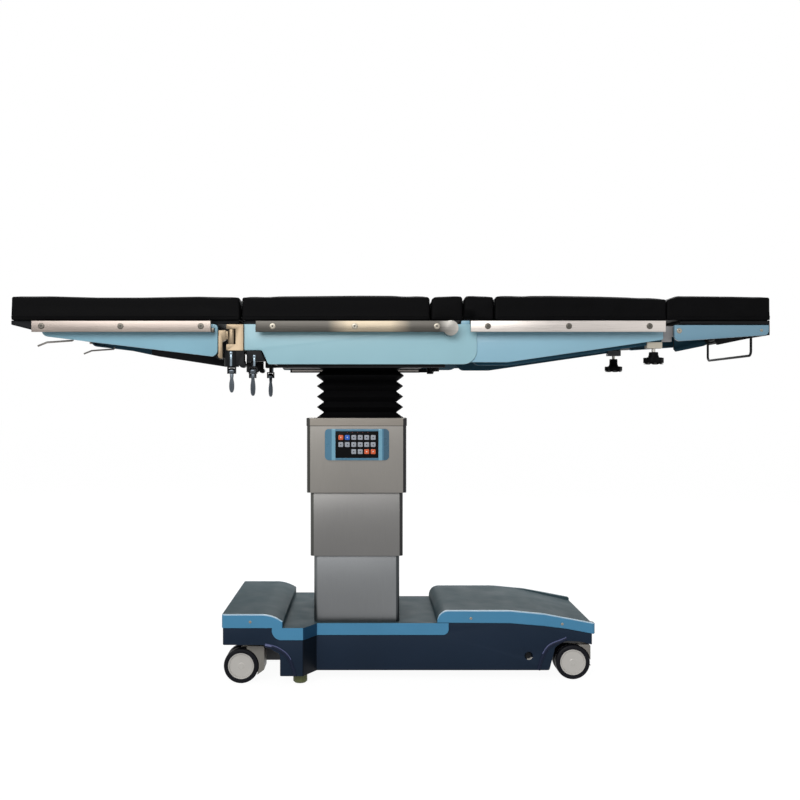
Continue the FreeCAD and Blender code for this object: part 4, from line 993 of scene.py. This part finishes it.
def bellows_half(name, first, last):
    """Pleats between two fold numbers; even folds are tips and odd ones are valleys."""
    step = (BELLOWS_TOP - BELLOWS_BOTTOM) / BELLOWS_FOLDS
    size = BELLOWS_TIP if first % 2 == 0 else BELLOWS_VALLEY
    start = BELLOWS_BOTTOM + first * step
    bpy.ops.mesh.primitive_plane_add(size=1, location=mm(BELLOWS_X, 0, start))
    piece = bpy.context.object
    piece.name = name
    piece.scale = (2 * size[0] * MM, 2 * size[1] * MM, 1)
    settle(piece)
    open_mesh(piece)
    bpy.ops.mesh.select_all(action="SELECT")
    bpy.ops.mesh.bevel(offset=20 * MM, segments=5, affect="VERTICES")
    bpy.ops.mesh.select_all(action="SELECT")
    bpy.ops.mesh.delete(type="ONLY_FACE")
    bpy.ops.mesh.select_all(action="SELECT")
    for fold in range(first + 1, last + 1):
        after = BELLOWS_TIP if fold % 2 == 0 else BELLOWS_VALLEY
        extrude(z=step)
        centre = mm(BELLOWS_X, 0, BELLOWS_BOTTOM + fold * step)
        bpy.ops.transform.resize(value=(after[0] / size[0], after[1] / size[1], 1), center_override=centre)
        size = after
    inner = (start + 0.5 * step) * MM
    outer = (BELLOWS_BOTTOM + (last - 0.5) * step) * MM
    pick_edges(piece, lambda p, d: abs(d.z) < 0.05 and inner < p.z < outer)
    bpy.ops.mesh.bevel(offset=1.6 * MM, segments=2, affect="EDGES")
    bpy.ops.mesh.select_all(action="SELECT")
    bpy.ops.mesh.normals_make_consistent(inside=False)
    close_mesh()
    wall = piece.modifiers.new("wall", "SOLIDIFY")
    wall.thickness = 2.0 * MM
    wall.offset = -1.0
    apply_all(piece)
    shade(piece, 50)
    return piece


def bellows():
    step = (BELLOWS_TOP - BELLOWS_BOTTOM) / BELLOWS_FOLDS
    middle = BELLOWS_BOTTOM + 7 * step
    lower = bellows_half("bellows_lower_pleats", 0, 7)
    upper = bellows_half("bellows_upper_pleats", 7, BELLOWS_FOLDS)
    for piece, a, b, z0, z1 in ((lower, "column_top", "tilt_cross", BELLOWS_BOTTOM, middle),
                                (upper, "tilt_cross", "seat", middle, BELLOWS_TOP)):
        piece.data.materials.append(bellows_black)
        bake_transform(piece)
    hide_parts("bellows")


bellows()


# Castors

WHEEL_RADIUS = 48.0
CASTORS = {"foot": (-411.0, 182.0), "head": (511.0, 144.0)}


def castor_wheels():
    for end, (x, offset) in CASTORS.items():
        for side, way in SIDES:
            tyres, hubs = [], []
            for face in (-1, 1):
                inner = way * offset + face * 8.0
                tread = [(36, 0.4), (45, 0.4), (47.2, 2.0), (48, 5.5), (48, 11.6), (47.3, 12.2), (47.3, 12.8),
                         (48, 13.4), (48, 19.5), (47.2, 23.0), (45, 24.6), (38.5, 25.0), (36, 24.2),
                         (36, 0.4)]
                disc = [(0, 22.0), (8, 22.0), (9, 21.4), (30.5, 21.6), (31.5, 22.6), (32.5, 24.0), (35, 24.4),
                        (36, 23.6), (36, 1.0), (30, 0.2), (0, 0.2)]
                name = end + "_" + side + ("_outer" if face == way else "_inner")
                tyres.append(turned("tyre_" + name, [(r, face * y) for r, y in tread],
                                    (x, inner, WHEEL_RADIUS)))
                hubs.append(turned("hub_" + name, [(r, face * y) for r, y in disc], (x, inner, WHEEL_RADIUS)))
            axle = turned("axle", [(0, -10), (5, -10), (5, 10), (0, 10)], (x, way * offset, WHEEL_RADIUS),
                          steps=24)
            body = "castor_wheels_" + end + "_" + side
            tyre = joined("castor_tyres_" + end + "_" + side, tyres)
            hub = joined("castor_hubs_" + end + "_" + side, hubs + [axle])
            shade(tyre, 35)
            shade(hub, 30)
            dress(tyre, tyre_black, body, "castor_wheel", body)
            dress(hub, hub_grey, body, "castor_wheel")


castor_wheels()


# Socket screws and small fasteners

def socket_screw(name, radius, height, socket):
    """A domed screw head with a hexagon socket, standing on the XY plane at the origin."""
    bpy.ops.mesh.primitive_circle_add(vertices=6, radius=socket * MM, location=mm(0, 0, height))
    piece = bpy.context.object
    piece.name = name
    settle(piece)
    open_mesh(piece)
    bpy.ops.mesh.select_all(action="SELECT")
    bpy.ops.mesh.subdivide(number_cuts=3)
    bpy.ops.mesh.select_all(action="SELECT")
    extrude(z=-0.55 * height)
    bpy.ops.mesh.edge_face_add()
    pick_edges(piece, lambda p, d: p.z > 0.9 * height * MM)
    extrude()
    bpy.ops.transform.resize(value=(1.5, 1.5, 1), center_override=mm(0, 0, height))
    bpy.ops.transform.tosphere(value=1.0)
    pick_points(piece, lambda p: p.z > 0.9 * height * MM and p.xy.length > 1.05 * socket * MM)
    reach = 1.5 * socket
    for out, drop in ((0.82 * radius / reach, 0.0), (1 / 0.82 * 0.95, -0.25 * height),
                      (1 / 0.95, -0.3 * height),
                      (1.0, -0.45 * height)):
        extrude(z=drop)
        bpy.ops.transform.resize(value=(out, out, 1), center_override=(0, 0, 0))
    bpy.ops.mesh.edge_face_add()
    bpy.ops.mesh.select_all(action="SELECT")
    bpy.ops.mesh.normals_make_consistent(inside=False)
    close_mesh()
    shade(piece, 35)
    return piece


def screws(name, pattern, spots, body, slot):
    """Copies of a screw on the near and far sides; spots are (x, distance from the middle, z)."""
    turn = Matrix.Rotation(math.radians(90), 4, "X")
    copies = []
    for x, y, z in spots:
        for side, way in SIDES:
            copy = copied(pattern, name)
            copy.data.transform(turn if way < 0 else Matrix.Rotation(math.radians(-90), 4, "X"))
            copy.data.transform(Matrix.Translation(mm(x, way * y, z)))
            copies.append(copy)
    return dress(joined(name, copies), None, body, slot)


def painted_screw(name, radius, height, socket, dome=None):
    """A bright dome with painted shade in the socket and round the rim where it seats."""
    pattern = socket_screw(name, radius, height, socket)

    def finish(middle, normal):
        reach = middle.xy.length
        return 1 if reach < 1.02 * socket or reach > 0.9 * radius else 0

    paint_faces(pattern, (dome or screw_steel, screw_painted_shade), finish)
    return pattern


RAIL_SCREW_Z = 979.0


def fasteners():
    rail_screw = painted_screw("rail_screw", 9.0, 1.6, 2.9)
    leg_screw = painted_screw("leg_screw", 9.0, 1.6, 2.9, screw_dull)
    cover_screw = painted_screw("cover_screw", 4.2, 1.2, 1.3)
    panel_screw = painted_screw("panel_screw", 8.0, 1.4, 2.0)
    screws("seat_rail_screws", rail_screw, [(x, 275.0, RAIL_SCREW_Z) for x in (-318.0, -97.0, 124.0)],
           "seat", "rail_steel")
    screws("back_rail_screws", leg_screw, [(x, 275.0, RAIL_SCREW_Z) for x in (261.0, 479.0, 696.0)],
           "back", "rail_steel")
    for side, way in SIDES:
        turn = Matrix.Rotation(math.radians(-90 * way), 4, "X")
        spacer = block("rail_spacer_" + side, (-485, min(way * 250, way * 268), 963),
                       (-477, max(way * 250, way * 268), 975))
        soften(spacer, 0.8, 2)
        dress(spacer, screw_dull, "leg_" + side, "rail_steel")
        copies = []
        for x in (-940.0, -727.0, -511.0):
            copy = copied(leg_screw, "leg_rail_screw")
            copy.data.transform(Matrix.Translation(mm(x, way * 275.0, RAIL_SCREW_Z)) @ turn)
            copies.append(copy)
        dress(joined("leg_rail_screws_" + side, copies), None, "leg_" + side, "rail_steel")
    screws("foot_cover_screws", cover_screw, [(-382.0, 245.0, 176.5)], "root", "rail_steel")
    screws("head_cover_screws", cover_screw, [(224.8, 186.0, 173.0), (479.0, 186.0, 157.4)], "root",
           "rail_steel")
    screws("head_panel_screws", panel_screw, [(786.0, 243.0, 969.0)], "head", "rail_steel")
    screws("head_panel_pins", cover_screw, [(1010.0, 243.0, 970.0)], "head", "rail_steel")
    for pattern in (rail_screw, leg_screw, cover_screw, panel_screw):
        bpy.data.objects.remove(pattern)


screw_steel = brushed("screw_steel", srgb(150, 144, 132), 0.3, (200.0, 200.0, 200.0))
screw_dull = brushed("screw_dull", srgb(92, 88, 82), 0.35, (200.0, 200.0, 200.0))
# Painted shade in screw sockets and round the seats of their rims.
screw_painted_shade = paint("screw_seat_painted_shade", srgb(62, 58, 52), 0.5, 0.1)
fasteners()


# Control panel: curved bezel, black membrane and raised keys

PANEL_X = -92.0
PANEL_Z = 657.0
COVER_FACE = -190.0
KEY_COLUMNS = (-136.7, -118.8, -100.8, -82.9, -65.0, -47.1)
KEY_ROWS = (676.8, 657.1, 637.5)
KEY_SIZE = 13.4
ORANGE_KEYS = ((0, 0), (2, 4), (2, 5))
BLUE_KEYS = ((0, 1),)
BLANKS = ((2, 0), (2, 1))


def rounded_block(name, low, high, corner, edge, segments=4):
    """A block whose four edges along Y are rounded by corner and its front rim by edge."""
    piece = block(name, low, high)
    open_mesh(piece)
    pick_edges(piece, lambda p, d: abs(d.y) > 0.9)
    bpy.ops.mesh.bevel(offset=corner * MM, segments=5, affect="EDGES")
    front = low[1] * MM
    pick_edges(piece, lambda p, d: abs(p.y - front) < 0.01 * MM)
    bpy.ops.mesh.bevel(offset=edge * MM, segments=segments, affect="EDGES")
    close_mesh()
    shade(piece, 35)
    return piece


def control_bezel():
    """A rounded frame that falls away to both sides of the key field."""
    half, height, field = 89.0, 43.5, (59.7, 37.2)
    front = COVER_FACE - 8.0
    piece = block("control_bezel_curved", (PANEL_X - half, front, PANEL_Z - height),
                  (PANEL_X + half, COVER_FACE, PANEL_Z + height))
    open_mesh(piece)
    pick_edges(piece, lambda p, d: abs(d.y) > 0.9)
    bpy.ops.mesh.bevel(offset=11 * MM, segments=6, affect="EDGES")
    for x in (field[0], 63, 66.5, 70, 74, 78, 82, 85, 87.5):
        for way in (-1, 1):
            bpy.ops.mesh.select_all(action="SELECT")
            bpy.ops.mesh.bisect(plane_co=mm(PANEL_X + way * x, 0, 0), plane_no=(1, 0, 0))
    for z in (-field[1], field[1]):
        bpy.ops.mesh.select_all(action="SELECT")
        bpy.ops.mesh.bisect(plane_co=mm(0, 0, PANEL_Z + z), plane_no=(0, 0, 1))
    pick_faces(piece,
               lambda p, n: n.y < -0.9 and abs(p.x / MM - PANEL_X) < 58 and abs(p.z / MM - PANEL_Z) < 36)
    bpy.ops.mesh.extrude_region_move(TRANSFORM_OT_translate={"value": mm(0, 2.2, 0)})
    close_mesh()
    for point in piece.data.vertices:
        out = abs(point.co.x / MM - PANEL_X) - 62.0
        if out > 0 and point.co.y < (front + 1) * MM:
            point.co.y += 5.4 * (out / 27.0) ** 2 * MM
    soften(piece, 0.9, 3, 38)

    def finish(middle, normal):
        # Painted shade on the outer part on the head-end side, painted highlight on the front of the bands
        # beside the key field.
        if middle.x - PANEL_X > 74.0:
            return 2
        return 1 if 59.8 < abs(middle.x - PANEL_X) < 72.0 and normal.y < -0.8 else 0

    paint_faces(piece, (bezel_blue, bezel_painted_highlight, bezel_painted_shade), finish)
    return dress(piece, None, "column_top", "bezel_blue", "control_bezel")


def key_mark(name, x, z, quarter_turns):
    """A small raised arrow on a key."""
    bpy.ops.mesh.primitive_circle_add(vertices=3, radius=2.4 * MM, fill_type="NGON",
                                      location=(0, 0, 0))
    piece = bpy.context.object
    piece.name = name
    open_mesh(piece)
    bpy.ops.mesh.select_all(action="SELECT")
    bpy.ops.mesh.bevel(offset=0.5 * MM, segments=2, affect="VERTICES")
    bpy.ops.mesh.select_all(action="SELECT")
    extrude(z=0.35)
    bpy.ops.mesh.select_all(action="SELECT")
    bpy.ops.mesh.normals_make_consistent(inside=False)
    close_mesh()
    piece.data.transform(Matrix.Rotation(math.radians(90 * quarter_turns), 4, "Z"))
    piece.data.transform(Matrix.Rotation(math.radians(90), 4, "X"))
    piece.data.transform(Matrix.Translation(mm(x, COVER_FACE - 8.35, z)))
    return piece


def control_keys():
    low = (PANEL_X - 59.4, COVER_FACE - 7.6, PANEL_Z - 36.9)
    high = (PANEL_X + 59.4, COVER_FACE - 5.9, PANEL_Z + 36.9)
    membrane = rounded_block("control_membrane", low, high, 2.5, 0.4, 2)
    dress(membrane, membrane_black, "column_top", "keypad", "control_keypad")
    groups = {"grey": [], "orange": [], "blue": []}
    marks = {"dark": [], "pale": []}
    pattern = rounded_block("key", (-KEY_SIZE / 2, COVER_FACE - 8.4, -KEY_SIZE / 2),
                            (KEY_SIZE / 2, COVER_FACE - 7.5, KEY_SIZE / 2), 2.2, 0.6, 3)
    for row, z in enumerate(KEY_ROWS):
        for column, x in enumerate(KEY_COLUMNS):
            spot = (row, column)
            if spot in BLANKS:
                continue
            colour = "orange" if spot in ORANGE_KEYS else "blue" if spot in BLUE_KEYS else "grey"
            groups[colour].append(copied(pattern, "key_" + colour, (x, 0, z)))
            shade_of_mark = "dark" if colour == "grey" else "pale"
            marks[shade_of_mark].append(key_mark("mark_" + shade_of_mark, x, z, (row + column) % 4))
    bpy.data.objects.remove(pattern)
    for colour, material in (("grey", key_grey), ("orange", key_orange), ("blue", key_blue)):
        dress(joined("keys_" + colour, groups[colour]), material, "column_top", "keypad")
    for tone, material in (("dark", membrane_black), ("pale", key_pale)):
        dress(joined("key_marks_" + tone, marks[tone]), material, "column_top", "keypad")
    lights = []
    for x in (-118.8, -104.5, -90.2, -75.9, -61.6):
        dome = turned("indicator", [(0, -1.0), (0.9, -0.8), (1.3, -0.2), (1.3, 0.4), (0, 0.4)],
                      (x, COVER_FACE - 7.6, 690.6), steps=12)
        lights.append(dome)
    lamp_row = joined("indicator_lights", lights)
    shade(lamp_row, 60)
    dress(lamp_row, indicator_red, "column_top", "keypad")


membrane_black = paint("membrane_black", srgb(12, 12, 14), 0.4, 0.1, grain=2200.0, specular=0.06)
indicator_red = paint("indicator_red", srgb(96, 34, 30), 0.3, 0.1, grain=2200.0)
key_grey = paint("key_grey", srgb(158, 163, 172), 0.45, 0.05, grain=2200.0)
key_orange = paint("key_orange", srgb(216, 92, 44), 0.4, 0.06, grain=2200.0)
key_blue = paint("key_blue", srgb(38, 98, 198), 0.4, 0.06, grain=2200.0)
key_pale = paint("key_mark_pale", srgb(232, 232, 228), 0.5, 0.03, grain=2200.0)
control_bezel()
control_keys()


# Clamp knobs under the back section

def clamp_knob(way):
    """A six-lobed knob with a domed underside, a neck and its screw; the near one is screwed further in."""
    x, y = 724.0, way * 215.0
    height, depth = (889.5, 14.0) if way < 0 else (881.5, 13.0)
    shoulder = height + depth / 2 - 2
    bpy.ops.mesh.primitive_cylinder_add(vertices=48, radius=27.5 * MM, depth=depth * MM,
                                        location=mm(x, y, height))
    piece = bpy.context.object
    piece.name = "clamp_knob_lobed"
    settle(piece)
    open_mesh(piece)
    centre = mm(x, y, height)
    pick_points(piece, lambda p: math.cos(6 * math.atan2(p.y - centre.y, p.x - centre.x)) < -0.3)
    bpy.ops.transform.resize(value=(0.86, 0.86, 1), center_override=centre)
    pick_points(piece, lambda p: abs(math.cos(6 * math.atan2(p.y - centre.y, p.x - centre.x))) < 0.3)
    bpy.ops.transform.resize(value=(0.95, 0.95, 1), center_override=centre)
    pick_faces(piece, lambda p, n: n.z < -0.9)
    bpy.ops.mesh.inset(thickness=7 * MM, depth=2.0 * MM, use_even_offset=False)
    bpy.ops.mesh.inset(thickness=6 * MM, depth=-0.6 * MM, use_even_offset=False)
    pick_faces(piece, lambda p, n: n.z > 0.9)
    bpy.ops.mesh.inset(thickness=8 * MM, depth=0, use_even_offset=False)
    bpy.ops.mesh.inset(thickness=3 * MM, depth=1.5 * MM, use_even_offset=False)
    close_mesh()
    soften(piece, 1.5, 3, 50)
    neck = turned("knob_neck", [(0, shoulder), (15.5, shoulder), (14.5, shoulder + 5), (12.8, shoulder + 10),
                                (12.5, 911), (11.5, 912), (0, 912)],
                  (x, y, 0), "Z", 32)
    screw = turned("knob_screw", [(0, 912), (5, 912), (5, 933), (0, 933)], (x, y, 0), "Z", 24)
    shade(neck, 35)
    shade(screw, 35)
    side = "left" if way < 0 else "right"
    dress(screw, rod_steel, "head_clamp_" + side, "rod_steel")
    knob = joined("clamp_knob_" + side, [piece, neck])
    dress(knob, knob_black, "head_clamp_" + side, "black_plastic", "head_clamp_knob_" + side)


for side, way in SIDES:
    clamp_knob(way)


# Hanging clamp handles at the leg hinge

def clamp_handle(name, node, x, tip, way, body):
    """A slim forged handle: round eye, waisted neck and flattened paddle."""
    pivot = 859.0
    y = way * 238.0
    length = pivot - tip
    outline = [(x - 4.2, pivot - 3), (x - 5.0, pivot - 12), (x - 4.2, pivot - 20),
               (x - 6.6, pivot - 0.55 * length),
               (x - 6.9, pivot - 0.72 * length), (x - 6.0, tip + 8), (x - 3.6, tip + 2), (x, tip),
               (x + 3.6, tip + 2), (x + 6.0, tip + 8), (x + 6.9, pivot - 0.72 * length),
               (x + 6.6, pivot - 0.55 * length), (x + 4.2, pivot - 20), (x + 5.0, pivot - 12),
               (x + 4.2, pivot - 3)]
    blade = plate(name, outline, y - 3.8, y + 3.8)
    soften(blade, 2.2, 4, 50)
    eye = turned("eye", [(2.6, -7.6), (6.6, -7.6), (8.3, -5.0), (8.5, -2.0), (8.5, 2.0), (8.3, 5.0),
                         (6.6, 7.6),
                         (2.6, 7.6), (2.6, -7.6)], (x, y, pivot), "X", 32)
    shade(eye, 40)
    handle = joined(name, [blade, eye])
    return dress(handle, handle_steel, body, "black_plastic", node)


handle_steel = brushed("handle_dark_chrome", srgb(78, 84, 90), 0.22, (80.0, 80.0, 30.0), 0.25)
for side, way in SIDES:
    for kind, x, tip in (("spread", -433.0, 800.0), ("post", -375.0, 791.0)):
        node = kind + "_handle_" + side
        clamp_handle(node + "_forged", node, x, tip, way, node)


# Stage, lamps and camera

def seen_rays(tree):
    """One for rays from the camera, through glass or off gloss, which see the white background."""
    rays = add(tree, "LightPath").outputs
    total = rays["Is Camera Ray"]
    for kind in ("Is Glossy Ray", "Is Transmission Ray"):
        more = add(tree, "Math", {"operation": "MAXIMUM"})
        tree.links.new(total, more.inputs[0])
        tree.links.new(rays[kind], more.inputs[1])
        total = more.outputs["Value"]
    return total


def stage_floor():
    bpy.ops.mesh.primitive_plane_add(size=60, location=(0, 0, -0.0005))
    floor = bpy.context.object
    floor.name = "floor"
    material, tree, shader, place = surface("floor_pale", 0.9)
    shader.inputs["Base Color"].default_value = (0.45, 0.45, 0.45, 1)
    glow = add(tree, "Emission", Color=(1, 1, 1, 1), Strength=1.28)
    share = add(tree, "Math", {"operation": "MULTIPLY"})
    tree.links.new(seen_rays(tree), share.inputs[0])
    share.inputs[1].default_value = 0.74
    mixed = add(tree, "MixShader", Fac=share.outputs["Value"])
    tree.links.new(shader.outputs["BSDF"], mixed.inputs[1])
    tree.links.new(glow.outputs["Emission"], mixed.inputs[2])
    tree.links.new(mixed.outputs["Shader"], tree.nodes["Material Output"].inputs["Surface"])
    floor.data.materials.append(material)


def white_room():
    world = bpy.data.worlds.new("room")
    bpy.context.scene.world = world
    world.use_nodes = True
    tree = world.node_tree
    tree.nodes.clear()
    lit = add(tree, "Background", Color=(1, 1, 1, 1), Strength=0.27)
    white = add(tree, "Background", Color=(1, 1, 1, 1), Strength=1.0)
    mixed = add(tree, "MixShader", Fac=seen_rays(tree))
    tree.links.new(lit.outputs["Background"], mixed.inputs[1])
    tree.links.new(white.outputs["Background"], mixed.inputs[2])
    out = add(tree, "OutputWorld")
    tree.links.new(mixed.outputs["Shader"], out.inputs["Surface"])


def lamp(name, place, aim, size, energy):
    light = bpy.data.lights.new(name, "AREA")
    light.shape = "RECTANGLE"
    light.size, light.size_y = size
    light.energy = energy
    rig = bpy.data.objects.new(name, light)
    bpy.context.scene.collection.objects.link(rig)
    rig.location = place
    rig.rotation_euler = (Vector(aim) - Vector(place)).to_track_quat("-Z", "Y").to_euler()
    rig.visible_camera = False


def studio():
    stage_floor()
    white_room()
    lamp("key_front_left", (-1.2, -4.0, 2.5), (0, 0, 0.7), (3.6, 2.0), 115)
    lamp("fill_front_right", (2.6, -3.4, 1.5), (0, 0, 0.7), (2.0, 2.0), 8)
    lamp("top_back", (0.1, 0.8, 3.1), (0, 0, 0.6), (3.0, 1.2), 25)
    lamp("fill_behind", (0.8, 4.2, 2.2), (0, 0, 0.6), (3.6, 2.0), 70)
    view = bpy.data.cameras.new("camera")
    view.lens = 43.1
    view.sensor_width = 36.0
    view.shift_x = 0.04
    view.shift_y = 0.0025
    view.clip_end = 100
    camera = bpy.data.objects.new("camera", view)
    bpy.context.scene.collection.objects.link(camera)
    camera.location = (-0.0614, -2.850, 0.775)
    camera.rotation_euler = (math.radians(90), 0, 0)
    bpy.context.scene.camera = camera
    bpy.context.scene.view_settings.view_transform = "Standard"


studio()
